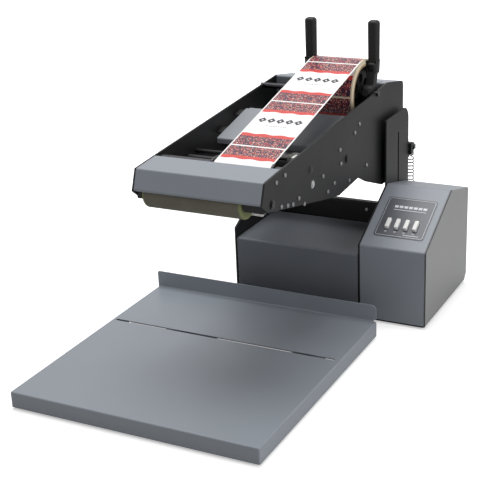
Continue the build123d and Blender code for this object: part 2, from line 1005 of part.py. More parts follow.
def make_key(x):
    """Push key: rounded cap, neck and stem that reaches its switch on the board"""
    section = RectangleRounded(key_width, key_length, key_corner)
    cap = extrude(section, key_proud + overlay_sheet)
    cap = fillet(cap.edges().group_by(Axis.Z)[-1], key_top_round)
    neck_length = cover_sheet + key_foot_drop
    neck = Pos(0, 0, -neck_length) * extrude(section, neck_length)
    stem_end = board_depth - tact_height - key_travel
    stem = Pos(0, 0, -stem_end) * upright(key_stem / 2, stem_end - neck_length)
    return slant_plane(x) * Pos(0, key_along, 0) * (cap + neck + stem)


def make_board():
    """Control board behind the keys with its tact switches, pillars, chip and plug"""
    width = overlay_right - overlay_left
    length = overlay_end - overlay_start
    middle = slant_plane(overlay_left + width / 2) * Pos(0, overlay_start + length / 2, -board_depth)
    sheet = RectangleRounded(width, length, board_corner)
    board = middle * Pos(0, 0, -board_sheet) * extrude(sheet, board_sheet)
    tact = extrude(Rectangle(tact_side, tact_side), tact_height)
    for x in key_places():
        board += slant_plane(x) * Pos(0, key_along, -board_depth) * tact
    for side_x in (-1, 1):
        for side_y in (-1, 1):
            spot = Pos(side_x * (width / 2 - pillar_inset), side_y * (length / 2 - pillar_inset), 0)
            board += middle * spot * upright(pillar_radius, board_depth - cover_sheet)
    board += middle * Pos(0, length / 4, 0) * extrude(Rectangle(chip_side, chip_side), chip_height)
    plug = extrude(Rectangle(plug_length, plug_depth), plug_depth)
    return board + middle * Pos(0, length / 2 - plug_inset, 0) * plug


def make_power_supply():
    """Supply board under the base cover with its coil, heat sink and capacitors"""
    x = frame_left + supply_left
    y = base_front + supply_front
    top = pan_sheet + supply_rise + board_sheet
    unit = block(x, x + supply_length, y, y + supply_depth, pan_sheet + supply_rise, top)
    for pillar_x in (x + supply_pillar_inset, x + supply_length - supply_pillar_inset):
        for pillar_y in (y + supply_pillar_inset, y + supply_depth - supply_pillar_inset):
            unit += Pos(pillar_x, pillar_y, pan_sheet) * upright(pillar_radius, supply_rise)
    coil_x = x + coil_left
    coil_y = y + coil_front
    unit += block(coil_x, coil_x + coil_length, coil_y, coil_y + coil_depth, top, top + coil_height)
    sink_x = x + sink_left
    sink_y = y + sink_front
    unit += block(sink_x, sink_x + sink_sheet, sink_y, sink_y + sink_depth, top, top + sink_height)
    for step in range(2):
        can_y = y + capacitor_front + step * capacitor_pitch
        unit += Pos(x + capacitor_left, can_y, top) * upright(capacitor_radius, capacitor_height)
    return unit


def make_inlet():
    """Mains inlet on the rear wall of the control box, with its three pins"""
    face = control_rear + inlet_flange_sheet
    flange = centred_block(inlet_x, power_z, inlet_flange_width, inlet_flange_height, control_rear, face)
    flange = fillet(flange.edges().filter_by(Axis.Y), inlet_corner)
    body_start = control_rear - inlet_depth
    inlet = flange + centred_block(inlet_x, power_z, inlet_width, inlet_height, body_start, control_rear)
    socket = RectangleRounded(socket_width, socket_height, inlet_corner)
    cavity = Plane.XZ.offset(-face) * Pos(inlet_x, power_z) * socket
    inlet -= extrude(cavity, amount=socket_depth + inlet_flange_sheet, dir=(0, -1, 0))
    for x, z in ((-pin_spread, -pin_offset), (pin_spread, -pin_offset), (0, pin_offset)):
        pin_start = control_rear - pin_root
        pin_end = control_rear - pin_back
        inlet += centred_block(inlet_x + x, power_z + z, pin_width, pin_height, pin_start, pin_end)
    return inlet


def make_rocker_frame():
    """Frame of the power switch with the pin that the rocker tips on"""
    face = control_rear + rocker_rim_sheet
    rim_width = rocker_width + 2 * rocker_rim
    rim_height = rocker_height + 2 * rocker_rim
    rim = centred_block(rocker_x, power_z, rim_width, rim_height, control_rear, face)
    rim = fillet(rim.edges().filter_by(Axis.Y), small_round)
    body_width = rocker_width + 2 * rocker_wall
    body_height = rocker_height + 2 * rocker_wall
    body_start = control_rear - rocker_body_depth
    frame = rim + centred_block(rocker_x, power_z, body_width, body_height, body_start, control_rear)
    pocket_start = control_rear - rocker_pocket
    frame -= centred_block(rocker_x, power_z, rocker_width, rocker_height, pocket_start, face)
    pin_start = rocker_x - rocker_width / 2
    pin_y = control_rear - rocker_pin_depth
    return frame + rod(pin_y, power_z, rocker_pin_radius, pin_start, pin_start + rocker_width)


def make_rocker():
    """Rocker that tips about its pin"""
    half = rocker_height / 2 - rocker_end_gap
    lift = half * tan(radians(rocker_tilt))
    face = control_rear + rocker_face
    profile = outline([
        (face - lift, power_z - half, rocker_corner),
        (face + rocker_crown, power_z, rocker_crown_round),
        (face - rocker_crown + lift * rocker_far_share, power_z + half, rocker_corner),
        (control_rear - rocker_back, power_z + half - rocker_taper, rocker_corner),
        (control_rear - rocker_keel, power_z, 2 * rocker_corner),
        (control_rear - rocker_back, power_z - half + rocker_taper, rocker_corner),
    ])
    start = rocker_x - rocker_width / 2 + rocker_side_gap
    end = rocker_x + rocker_width / 2 - rocker_side_gap
    bore = rocker_pin_radius + bearing_clearance
    return across(profile, start, end) - rod(control_rear - rocker_pin_depth, power_z, bore, start, end)


def make_feet():
    """Rubber feet under the pan and the control box"""
    rows = (pan_front + foot_inset, base_front, frame_rear - foot_inset)
    spots = [(x, y) for x in (frame_left + foot_inset, frame_right - foot_inset) for y in rows]
    box_x = control_right - foot_inset
    spots += [(box_x, base_front + foot_inset), (box_x, control_rear - foot_rear_inset)]
    low = (Align.CENTER, Align.CENTER, Align.MIN)
    foot = Cone(foot_radius - foot_taper, foot_radius, foot_height, align=low)
    return Compound(children=[Pos(x, y, -foot_height) * foot for x, y in spots])


def make_frame_screws():
    """Screws of the frame: through the side plates, on the cross wall and on the rear panel"""
    screws = []
    for y, z in frame_screw_places():
        screws.append(side_screw(frame_left, y, z, -1, side_sheet + pan_sheet))
        screws.append(side_screw(frame_right, y, z, 1, side_sheet + pan_sheet))
    head = upright(screw_radius, screw_head)
    head = fillet(head.edges().group_by(Axis.Z)[-1], screw_round)
    for x in (frame_middle - panel_screw_spread, frame_middle + panel_screw_spread):
        screws.append(Pos(x, wall_y, cover_top + wall_face_screw_rise) * Rot(90, 0, 0) * head)
        screws.append(Pos(x, frame_rear - rear_panel_inset, panel_screw_z) * Rot(-90, 0, 0) * head)
    return Compound(children=screws)


def carriage_profile():
    """Side view of the lift carriage: pivot eye, clamp wing and spring arm"""
    wing_end = clamp_block_start + clamp_block_depth - wing_end_gap
    arm_top = anchor_z + arm_rise
    eye_top = pivot_z + eye_rise
    return outline([
        (carriage_front, carriage_bottom, carriage_corner),
        (tail_y + arm_back, carriage_bottom, arm_corner),
        (tail_y + arm_back, arm_top, arm_corner),
        (wing_neck_y, arm_top, carriage_corner),
        (wing_neck_y, clamp_z - wing_half, wing_corner),
        (wing_end, clamp_z - wing_half, wing_corner),
        (wing_end, clamp_z + wing_half, wing_corner),
        (wing_front_y, clamp_z + wing_half, side_corner),
        (eye_rear_y, eye_top, eye_corner),
        (carriage_front, eye_top, eye_corner),
    ])


def clamp_axis():
    """Line of the right clamp screw, along y"""
    return Pos(frame_right - side_sheet / 2, clamp_block_start, clamp_z) * Rot(-90, 0, 0)


def make_carriage():
    """Yoke that carries the head: plates, cross channel, riveted guide pins and clamp blocks"""
    start = carriage_right - carriage_sheet
    plate = across(carriage_profile(), start, carriage_right)
    plate -= rod(tail_y, anchor_z, anchor_radius, start, carriage_right)
    yoke = plate + mirrored(plate)
    path = [(channel_front_y, channel_low), (channel_rear_y, channel_low), (channel_rear_y, channel_top)]
    yoke += folded(path, channel_sheet, channel_bend, carriage_left, carriage_right)
    for z in (guide_pin_low, guide_pin_high):
        pin = rod(lift_slot_y, z, guide_pin_radius, start, frame_right)
        yoke += [pin, mirrored(pin)]
    block_end = clamp_block_start + clamp_block_depth
    low = clamp_z - clamp_block_height / 2
    high = clamp_z + clamp_block_height / 2
    body = block(start, frame_right + clamp_block_out, clamp_block_start, block_end, low, high)
    body = fillet(body.edges().filter_by(Axis.Y), small_round)
    body -= clamp_axis() * upright(clamp_screw_radius + bearing_clearance, clamp_block_depth)
    yoke += [body, mirrored(body)]
    return yoke - rod(pivot_y, pivot_z, pivot_radius + bearing_clearance, carriage_left, carriage_right)


def make_clamp_knob(left):
    """Thumbscrew whose tip bears on the rear edge of the upright"""
    tip = frame_rear + clamp_tip_gap - clamp_block_start
    knob_start = clamp_block_depth + clamp_knob_gap
    screw = Pos(0, 0, tip) * upright(clamp_screw_radius, knob_start - tip)
    flutes = (clamp_flute_count, clamp_flute_radius, clamp_flute_out)
    knob = fluted_knob(clamp_knob_radius, clamp_knob_depth, *flutes)
    knob = chamfer(knob.edges().group_by(Axis.Z)[-1].filter_by(GeomType.CIRCLE), clamp_knob_chamfer)
    whole = clamp_axis() * (screw + Pos(0, 0, knob_start) * knob)
    return mirrored(whole) if left else whole


def wire_between(first, second):
    """Straight piece of spring wire between two points"""
    start = Vector(*first)
    step = Vector(*second) - start
    return Plane(origin=start, z_dir=step) * upright(spring_wire, step.length)


def make_spring(left):
    """Tension spring from the carriage arm to the tail of the head"""
    x = carriage_right - carriage_sheet / 2
    coil_start = anchor_z + anchor_radius + 2 * spring_radius + spring_lead
    coil_end = coil_start + spring_pitch * spring_turns
    helix = Pos(x, tail_y, coil_start) * Helix(spring_pitch, coil_end - coil_start, spring_radius)
    section = Plane(origin=helix @ 0, z_dir=helix % 0) * RegularPolygon(spring_wire, spring_wire_sides)
    coil = sweep(section, helix, is_frenet=True)
    low_z = anchor_z + anchor_radius - spring_wire + spring_radius - spring_hook_sink
    eye = tail_pin_radius + spring_eye_gap + spring_wire
    high_z = tail_z + tail_pin_radius + spring_wire - eye
    low_ring = Pos(x, tail_y, low_z) * Rot(90, 0, 0) * Torus(spring_radius, spring_wire)
    high_ring = Pos(x, tail_y, high_z) * Rot(0, 90, 0) * Torus(eye, spring_wire)
    side_x = x + spring_radius
    low_link = wire_between((x, tail_y, low_z + spring_radius), (side_x, tail_y, coil_start))
    high_link = wire_between((side_x, tail_y, coil_end), (x, tail_y, high_z - eye))
    spring = coil + low_link + low_ring + high_link + high_ring
    return mirrored(spring) if left else spring


def head_profile():
    """Outline shared by both side plates of the head, tail lug included"""
    tail_low = tail_z - tail_radius
    return outline([
        (nose_bottom_y, nose_bottom_z, nose_corner),
        (nose_bottom_y + nose_chin_back, nose_bottom_z - nose_chin_drop, nose_chin_corner),
        (belly_front_y, belly_front_z, belly_front_corner),
        (belly_low_y, belly_low_z, belly_low_corner),
        (belly_rear_y, belly_rear_z, belly_rear_corner),
        (step_y, step_z, step_corner),
        (pivot_lobe_front_y, pivot_lobe_front_z, pivot_lobe_corner),
        (pivot_lobe_rear_y, pivot_lobe_rear_z, pivot_lobe_corner),
        (tail_y - tail_lead, tail_low, tail_round),
        (rear_most, tail_low, tail_round),
        (rear_most, tail_z + tail_radius, tail_round),
        (head_rear, head_rear_low, head_rear_low_corner),
        (head_rear, head_back_z - head_back_drop, head_rear_corner),
        (head_back_y, head_back_z, head_back_corner),
        (head_top_y, head_top_z, head_top_corner),
        (nose_rear_y, nose_rear_z, nose_rear_corner),
        (nose_top_y, nose_top_z, nose_corner),
    ])


def make_head_plate(left):
    """Side plate of the head with its bores, spindle notch and tail lug"""
    start = head_left if left else head_inner_right
    end = start + head_sheet
    plate = across(head_profile(), start, end)
    bores = [(y, z, screw_shank) for y, z in plate_screw_places]
    bores += [
        (roller_y, roller_z, roller_shaft_radius),
        (drive_y, drive_z, bush_radius),
        (pinch_y, pinch_z, thin_shaft),
        (take_up_y, take_up_z, roller_shaft_radius),
        (pivot_y, pivot_z, bush_radius),
        (roll_y, roll_z, spindle_radius),
        (tail_y, tail_z, tail_pin_radius),
    ]
    for y, z, radius in bores:
        plate -= rod(y, z, radius + bearing_clearance, start, end)
    notch = spindle_radius + bearing_clearance
    return plate - block(start, end, roll_y - notch, roll_y + notch, roll_z, roll_z + spindle_notch_height)


def make_tail_pins():
    """Pins through the tail lugs that the springs hook on, each with a cap at its outer end"""
    pin = rod(tail_y, tail_z, tail_pin_radius, head_inner_right, frame_inner_right)
    pin += rod(tail_y, tail_z, tail_cap_radius, frame_inner_right, frame_inner_right + tail_cap_sheet)
    return Compound(children=[pin, mirrored(pin)])


def make_nose_cover():
    """Folded cover over the front roller"""
    path = [
        (nose_rear_y, nose_rear_z - nose_rear_lip),
        (nose_rear_y, nose_rear_z),
        (nose_top_y, nose_top_z),
        (nose_bottom_y, nose_bottom_z),
        (nose_bottom_y + nose_lip_back, nose_bottom_z - nose_lip_drop),
    ]
    return folded(path, cover_sheet, nose_bend, head_inner_left, head_inner_right)


def make_deck():
    """Sloping cover under the label web, on two tabs from the left plate"""
    path = [
        (deck_rear_y, deck_rear_z - deck_rear_lip),
        (deck_rear_y, deck_rear_z),
        (deck_front_y, deck_front_z),
        (deck_front_y + deck_lip_lean, deck_front_z - deck_lip),
    ]
    deck = folded(path, cover_sheet, sheet_bend, deck_left, head_inner_right)
    rise = tan(web_angle)
    for y in (deck_front_y + deck_tab_front, deck_rear_y - deck_tab_rear):
        z = deck_front_z + (y - deck_front_y) * rise
        far = (y + deck_tab_half, z + deck_tab_half * rise)
        near = (y - deck_tab_half, z - deck_tab_half * rise)
        deck += folded([far, near], cover_sheet, 0, head_inner_left, deck_left + deck_tab_overlap)
    notch_start = deck_rear_y - deck_notch
    return deck - block(deck_left, deck_left + deck_notch, notch_start, deck_rear_y, 0, deck_rear_z)


def make_rear_housing():
    """Grey cover over the tail of the head, cut away for the label roll"""
    path = [
        (head_rear - housing_rear_lean, housing_rear_bottom),
        (head_rear, head_back_z - housing_corner_drop),
        (head_back_y, head_back_z),
        (housing_front, head_top_z + housing_front_rise),
        (housing_front, housing_bottom),
    ]
    housing = folded(path, cover_sheet, sheet_bend, head_inner_left, head_inner_right)
    cut_start = web_left - housing_cut_left
    cut_end = web_right + housing_cut_right
    housing -= rod(roll_y, roll_z, roll_radius + housing_roll_gap, cut_start, cut_end)
    hole_x = head_inner_right - housing_hole_inset
    hole_y = housing_front + housing_hole_inset
    return housing - Pos(hole_x, hole_y, housing_bottom) * upright(housing_hole_radius, head_top_z)


def make_tie_rods():
    """Round bars that hold the head plates apart, and the thinner bar that carries the sensor"""
    rods = [rod(y, z, tie_rod_radius, head_inner_left, head_inner_right) for y, z in tie_rod_places]
    rods.append(rod(sensor_y, sensor_z, thin_shaft, head_inner_left, head_inner_right))
    return Compound(children=rods)


def make_turn_bar():
    """Bar that the label web turns down over, with flanges at the web's edges"""
    bar = rod(turn_bar_y, turn_bar_z, turn_bar_radius, head_inner_left, head_inner_right)
    left_flange = web_left - turn_flange_gap - turn_flange_sheet
    for x in (left_flange, web_right + turn_flange_gap):
        bar += rod(turn_bar_y, turn_bar_z, turn_bar_radius + turn_flange_rise, x, x + turn_flange_sheet)
    return bar


def make_peel_plate():
    """Bar with the thin edge that the labels leave the liner at"""
    front = peel_y - peel_front_gap
    low = peel_z - peel_clearance
    top = peel_z + peel_top
    profile = outline([
        (front, low, peel_radius),
        (front + peel_depth, low + peel_depth * tan(liner_slope), peel_radius),
        (front + peel_depth, peel_z + peel_rear_height, peel_corner),
        (front + peel_top_depth, top, peel_corner),
        (front - peel_lean, top, peel_radius),
    ])
    return across(profile, head_inner_left, head_inner_right)


def make_label_web():
    """Printed web from the roll over the turn bar, round the peel edge and back to the take-up"""
    slope = top_slope((turn_bar_y, turn_bar_z), turn_bar_radius, (roll_y, roll_z), roll_radius)
    outer = roll_radius + web_sheet + paper_clearance
    start = (roll_y - outer * sin(slope), roll_z + outer * cos(slope))
    corner_y = turn_bar_y - turn_bar_radius - web_sheet - turn_web_gap
    corner = (corner_y, start[1] - (start[0] - corner_y) * tan(slope))
    reach = (drive_radius + paper_clearance) / cos((liner_slope - exit_slope) / 2)
    nip = (drive_y - reach * sin(nip_lean), drive_z + reach * cos(nip_lean))
    edge_y = peel_y - peel_web_front
    low = (edge_y, nip[1] - (nip[0] - edge_y) * tan(liner_slope))
    wound = take_up_radius + take_up_clearance
    end = (take_up_y - wound * sin(exit_slope), take_up_z + wound * cos(exit_slope))
    bends = [turn_bar_radius, peel_radius, drive_radius]
    return across(folded_face([start, corner, low, nip, end], web_sheet, bends), web_left, web_right)


def make_front_roller():
    """Foam sleeve that presses the label down"""
    foam = ring(roller_y, roller_z, roller_radius, roller_sleeve, roller_left, roller_right)
    rims = [edge for edge in foam.edges().filter_by(GeomType.CIRCLE) if edge.radius > roller_sleeve]
    return fillet(rims, roller_round)


def make_front_roller_core():
    """Sleeve that carries the foam and turns on the shaft"""
    bore = roller_shaft_radius + bearing_clearance
    start = roller_left - sleeve_left_out
    return ring(roller_y, roller_z, roller_sleeve, bore, start, roller_right + sleeve_right_out)


def make_roller_blocks():
    """White blocks that hold the front roller's shaft at both plates"""
    profile = outline([
        (roller_y - roller_block_front, roller_z - roller_block_low, roller_block_corner),
        (roller_y + roller_block_rear, roller_z - roller_block_low, roller_block_corner),
        (roller_y + roller_block_rear, roller_z + roller_block_top_rear, roller_block_corner),
        (roller_y - roller_block_front, roller_z + roller_block_top_front, roller_block_corner),
    ])
    left_end = roller_left - sleeve_left_out - roller_block_gap
    right_start = roller_right + sleeve_right_out + roller_block_gap
    bore = roller_shaft_radius + bearing_clearance
    blocks = []
    for start, end in ((head_inner_left, left_end), (right_start, head_inner_right)):
        blocks.append(across(profile, start, end) - rod(roller_y, roller_z, bore, start, end))
    return Compound(children=blocks)


def web_roller(y, z, radius):
    """Chamfered roller a little wider than the web, on a clipped shaft"""
    roller = rod(y, z, radius, web_left - roller_over_left, web_right + roller_over_right)
    return chamfer(roller.edges().filter_by(GeomType.CIRCLE), drive_chamfer) + clipped_shaft(y, z, thin_shaft)


def make_drive_roller():
    """Rubber roller that pulls the liner, with a groove near each edge of the web"""
    roller = web_roller(drive_y, drive_z, drive_radius)
    right_groove = web_right - groove_inset - groove_width
    for x in (web_left + groove_inset, right_groove):
        roller -= ring(drive_y, drive_z, drive_radius, drive_radius - groove_depth, x, x + groove_width)
    return roller


def make_drive_pulley():
    """Belt pulley on the drive roller's shaft"""
    end = pulley_start + pulley_width
    pulley = ring(drive_y, drive_z, drive_pulley_radius, thin_shaft, pulley_start, end)
    flange_radius = drive_pulley_radius + pulley_flange_rise
    for x in (pulley_start - pulley_flange_sheet, end):
        pulley += ring(drive_y, drive_z, flange_radius, thin_shaft, x, x + pulley_flange_sheet)
    reach = drive_pulley_radius - pulley_hole_inset
    for step in range(pulley_hole_count):
        angle = radians(step * 360 / pulley_hole_count)
        hole_y = drive_y + reach * cos(angle)
        hole_z = drive_z + reach * sin(angle)
        hole_start = pulley_start - pulley_flange_sheet
        pulley -= rod(hole_y, hole_z, pulley_hole_radius, hole_start, end + pulley_flange_sheet)
    return pulley


def make_motor_pulley():
    """Small pulley with the motor's output shaft"""
    end = pulley_start + pulley_width
    pulley = rod(motor_y, motor_z, motor_pulley_radius, pulley_start, end)
    for x in (pulley_start - pulley_flange_sheet, end):
        pulley += rod(motor_y, motor_z, motor_pulley_radius + pulley_flange_rise, x, x + pulley_flange_sheet)
    return pulley + rod(motor_y, motor_z, thin_shaft, pulley_start - pulley_hub, bracket_x)


def belt_loop(extra):
    """Face inside a belt line that lies this much outside both pulleys"""
    drive = Pos(drive_y, drive_z) * Circle(drive_pulley_radius + extra)
    motor = Pos(motor_y, motor_z) * Circle(motor_pulley_radius + extra)
    return make_hull(drive.edges() + motor.edges())


def make_belt():
    """Flat belt round both pulleys"""
    start = pulley_start + belt_inset
    face = belt_loop(bearing_clearance + belt_sheet) - belt_loop(bearing_clearance)
    return across(face, start, pulley_start + pulley_width - belt_inset)


def make_motor():
    """Gear motor: gearbox, ribbed can, rear boss and connector"""
    can_start = bracket_end + gearbox_length
    can_end = can_start + can_length
    gearbox = rod(motor_y, motor_z, motor_radius, bracket_end, can_start)
    gearbox = chamfer(gearbox.edges().group_by(Axis.X)[-1], gearbox_chamfer)
    motor = gearbox + rod(motor_y, motor_z, motor_radius - can_step, can_start, can_end)
    groove_bore = motor_radius - can_groove_depth
    for step in range(can_groove_count):
        x = can_start + can_groove_start + step * can_groove_pitch
        motor -= ring(motor_y, motor_z, motor_radius, groove_bore, x, x + can_groove_width)
    motor += rod(motor_y, motor_z, tail_boss_radius, can_end, can_end + tail_boss_length)
    motor += block(
        bracket_end + connector_start, bracket_end + connector_end, motor_y - connector_half,
        motor_y + connector_half, motor_z + connector_low, motor_z + connector_high
    )
    return motor


def make_motor_bracket():
    """Bracket plate with three pillars to the left plate of the head"""
    front = motor_y - bracket_front
    rear = motor_y + bracket_rear
    profile = outline([
        (front, motor_z - bracket_low, bracket_low_corner),
        (rear, motor_z - bracket_low, bracket_low_corner),
        (rear, motor_z + bracket_high, bracket_high_corner),
        (front, motor_z + bracket_high, bracket_high_corner),
    ])
    bracket = across(profile, bracket_x, bracket_end)
    bracket -= rod(motor_y, motor_z, thin_shaft + shaft_clearance, bracket_x, bracket_end)
    for y, z in plate_screw_places[:bracket_screw_count]:
        bracket += ring(y, z, bracket_post_radius, screw_shank + shaft_clearance, head_inner_left, bracket_x)
    return bracket


def make_take_up():
    """Spindle that winds the used liner, with its end flange"""
    flange_end = web_left - turn_flange_gap
    flange_start = flange_end - take_up_flange_sheet
    spindle = rod(take_up_y, take_up_z, take_up_core, flange_end, web_right + roller_over_right)
    spindle += clipped_shaft(take_up_y, take_up_z, roller_shaft_radius)
    return spindle + rod(take_up_y, take_up_z, take_up_radius + take_up_flange_rise, flange_start, flange_end)


def make_roll_hub():
    """Hub inside the core: two rims on spoked webs and a long boss"""
    rim = core_radius - bearing_clearance
    start = web_left + hub_end_gap
    end = web_right - hub_end_gap
    bore = spindle_radius + bearing_clearance
    hub = ring(roll_y, roll_z, spindle_radius + hub_boss_wall, bore, start, end)
    reach = (rim + spindle_radius) / 2
    web_rim = rim - hub_rim_wall / 2
    web_bore = spindle_radius + hub_boss_wall / 2
    for x in (start, end - hub_rim_width):
        web_start = x + (hub_rim_width - hub_web_sheet) / 2
        web_end = web_start + hub_web_sheet
        wheel = ring(roll_y, roll_z, rim, rim - hub_rim_wall, x, x + hub_rim_width)
        wheel += ring(roll_y, roll_z, web_rim, web_bore, web_start, web_end)
        for step in range(hub_hole_count):
            angle = radians((step + 0.5) * 360 / hub_hole_count)
            hole_y = roll_y + reach * cos(angle)
            hole_z = roll_z + reach * sin(angle)
            wheel -= rod(hole_y, hole_z, hub_hole_radius, web_start, web_end)
        hub += wheel
    return hub


def make_guide_screw(x):
    """Knurled set screw of a guide, square to the spindle on its front side"""
    base = Pos(x, roll_y, roll_z) * Rot(guide_screw_tilt, 0, 0)
    shank = Pos(0, 0, spindle_radius + bearing_clearance) * upright(clamp_screw_radius, guide_screw_length)
    flutes = (guide_flute_count, guide_flute_radius, guide_flute_out)
    knob = fluted_knob(guide_knob_radius, guide_knob_depth, *flutes)
    return base * (shank + Pos(0, 0, guide_collar - guide_knob_sink) * knob)


def make_label_guide(left):
    """Moulded finger on a collar that grips the spindle beside the roll"""
    pad_start = web_right + guide_gap
    start = pad_start + guide_pad
    end = pad_start + guide_width
    blade_low = guide_wide_top - guide_wide_drop
    front = guide_y - guide_depth / 2
    rear = guide_y + guide_depth / 2
    blade = outline([
        (front - guide_wide_front, blade_low, guide_wide_corner),
        (rear, blade_low, guide_wide_corner),
        (rear, guide_top, guide_corner),
        (front, guide_top, guide_corner),
        (front, guide_wide_top, guide_wide_corner),
        (front - guide_wide_front, guide_wide_top - guide_wide_front, guide_wide_corner),
    ])
    finger = across(blade, start, end)
    finger = fillet(finger.edges().filter_by(Axis.Y).group_by(Axis.Z)[-1], guide_top_round)
    pad_front = guide_y - guide_pad_front
    pad_rear = guide_y + guide_pad_rear
    pad_low = blade_low + guide_pad
    finger += block(pad_start, end - guide_pad, pad_front, pad_rear, pad_low, guide_wide_top)
    leg_top = guide_wide_top - guide_leg_drop
    leg = outline([
        (roll_y - guide_leg_front, roll_z - guide_leg_low, guide_leg_corner),
        (roll_y + guide_leg_rear, roll_z - guide_leg_low, guide_leg_corner),
        (guide_y + guide_leg_back, leg_top, guide_leg_corner),
        (guide_y - guide_leg_lean, leg_top, guide_leg_corner),
    ])
    collar_start = start + guide_pad
    collar_end = collar_start + guide_collar_width
    finger += across(leg, collar_start, collar_end)
    finger += rod(roll_y, roll_z, guide_collar, collar_start, collar_end)
    finger -= rod(roll_y, roll_z, spindle_radius + bearing_clearance, start, end)
    finger += make_guide_screw(start + guide_screw_inset)
    if left:
        return mirror(finger, about=Plane.YZ.offset((web_left + web_right) / 2))
    return finger


def make_sensor():
    """Label sensor on its cross bar"""
    start = web_right - sensor_inset
    end = start + sensor_width
    front = sensor_y - sensor_front
    rear = sensor_y + sensor_rear
    profile = outline([
        (front, sensor_z - sensor_low, small_round),
        (rear, sensor_z - sensor_low, small_round),
        (rear, sensor_z + sensor_high, small_round),
        (front, sensor_z + sensor_high, small_round),
    ])
    return across(profile, start, end) - rod(sensor_y, sensor_z, thin_shaft, start, end)


def make_plate_screws():
    """Screws on both sides of the head"""
    screws = []
    for y, z in plate_screw_places:
        screws.append(side_screw(head_left, y, z, -1, head_sheet))
        screws.append(side_screw(head_right, y, z, 1, head_sheet))
    return Compound(children=screws)


def make_bushes():
    """Flanged bushes: drive roller in both plates, and pivot between the plates and the carriage"""
    drive_bore = thin_shaft + bearing_clearance
    collar_radius = bush_radius + bush_collar
    collar_start = head_inner_right - bush_collar_sheet
    drive = ring(drive_y, drive_z, bush_radius, drive_bore, head_inner_right, head_right)
    drive += ring(drive_y, drive_z, collar_radius, drive_bore, collar_start, head_inner_right)
    gap_end = carriage_right - carriage_sheet - bearing_clearance
    pivot_bore = pivot_radius + bearing_clearance
    pivot = ring(pivot_y, pivot_z, bush_radius, pivot_bore, head_inner_right, head_right)
    pivot += ring(pivot_y, pivot_z, bush_flange, pivot_bore, head_right, gap_end)
    return Compound(children=[drive, mirrored(drive), pivot, mirrored(pivot)])


def main():
    """Build every node and write it to its own file"""
    core_outer = core_radius + core_wall
    spindle_ends = (head_left - spindle_end, head_right + spindle_end)
    nodes = {
        "tray": make_tray(),
        "slide_outer_rails": make_outer_rails(),
        "tray_runners": make_runners(),
        "base_pan": make_pan(),
        "left_side_plate": make_side_plate(True),
        "right_side_plate": make_side_plate(False),
        "cross_wall": make_cross_wall(),
        "base_cover": make_base_cover(),
        "rear_panel": make_rear_panel(),
        "control_box_cover": make_control_cover(),
        "control_end_panel": make_end_panel(),
        "control_overlay": make_overlay(),
        "control_board": make_board(),
        "power_supply": make_power_supply(),
        "power_entry": Compound(children=[make_inlet(), make_rocker_frame()]),
        "power_rocker": make_rocker(),
        "rubber_feet": make_feet(),
        "frame_screws": make_frame_screws(),
        "lift_carriage": make_carriage(),
        "clamp_knob_left": make_clamp_knob(True),
        "clamp_knob_right": make_clamp_knob(False),
        "return_spring_left": make_spring(True),
        "return_spring_right": make_spring(False),
        "pivot_shaft": rod(pivot_y, pivot_z, pivot_radius, carriage_left, carriage_right),
        "flanged_bushes": make_bushes(),
        "head_left_plate": make_head_plate(True),
        "head_right_plate": make_head_plate(False),
        "tail_pins": make_tail_pins(),
        "nose_cover": make_nose_cover(),
        "head_deck": make_deck(),
        "rear_housing": make_rear_housing(),
        "tie_rods": make_tie_rods(),
        "turn_bar": make_turn_bar(),
        "peel_plate": make_peel_plate(),
        "label_web": make_label_web(),
        "front_roller_foam": make_front_roller(),
        "front_roller_core": make_front_roller_core(),
        "front_roller_shaft": clipped_shaft(roller_y, roller_z, roller_shaft_radius),
        "roller_blocks": make_roller_blocks(),
        "drive_roller": make_drive_roller(),
        "drive_pulley": make_drive_pulley(),
        "motor_pulley": make_motor_pulley(),
        "drive_belt": make_belt(),
        "drive_motor": make_motor(),
        "motor_bracket": make_motor_bracket(),
        "pinch_roller": web_roller(pinch_y, pinch_z, pinch_radius),
        "take_up_spindle": make_take_up(),
        "liner_roll": ring(take_up_y, take_up_z, take_up_radius, take_up_core, web_left, web_right),
        "label_roll": ring(roll_y, roll_z, roll_radius, core_outer, web_left, web_right),
        "roll_core": ring(roll_y, roll_z, core_outer, core_radius, web_left, web_right),
        "roll_hub": make_roll_hub(),
        "roll_spindle": rod(roll_y, roll_z, spindle_radius, *spindle_ends),
        "label_guide_left": make_label_guide(True),
        "label_guide_right": make_label_guide(False),
        "label_sensor": make_sensor(),
        "plate_screws": make_plate_screws(),
    }
    for number, x in enumerate(key_places(), start=1):
        nodes[f"panel_key_{number}"] = make_key(x)
    os.makedirs("parts", exist_ok=True)
    for name, shape in nodes.items():
        solids = [origin_shift * solid for solid in shape.solids()]
        placed = solids[0] if len(solids) == 1 else Compound(solids)
        export_step(placed, f"parts/{name}.step")


main()
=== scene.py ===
from math import asin, atan2, cos, hypot, pi, radians, sin, tan

import bpy
from mathutils import Matrix, Vector


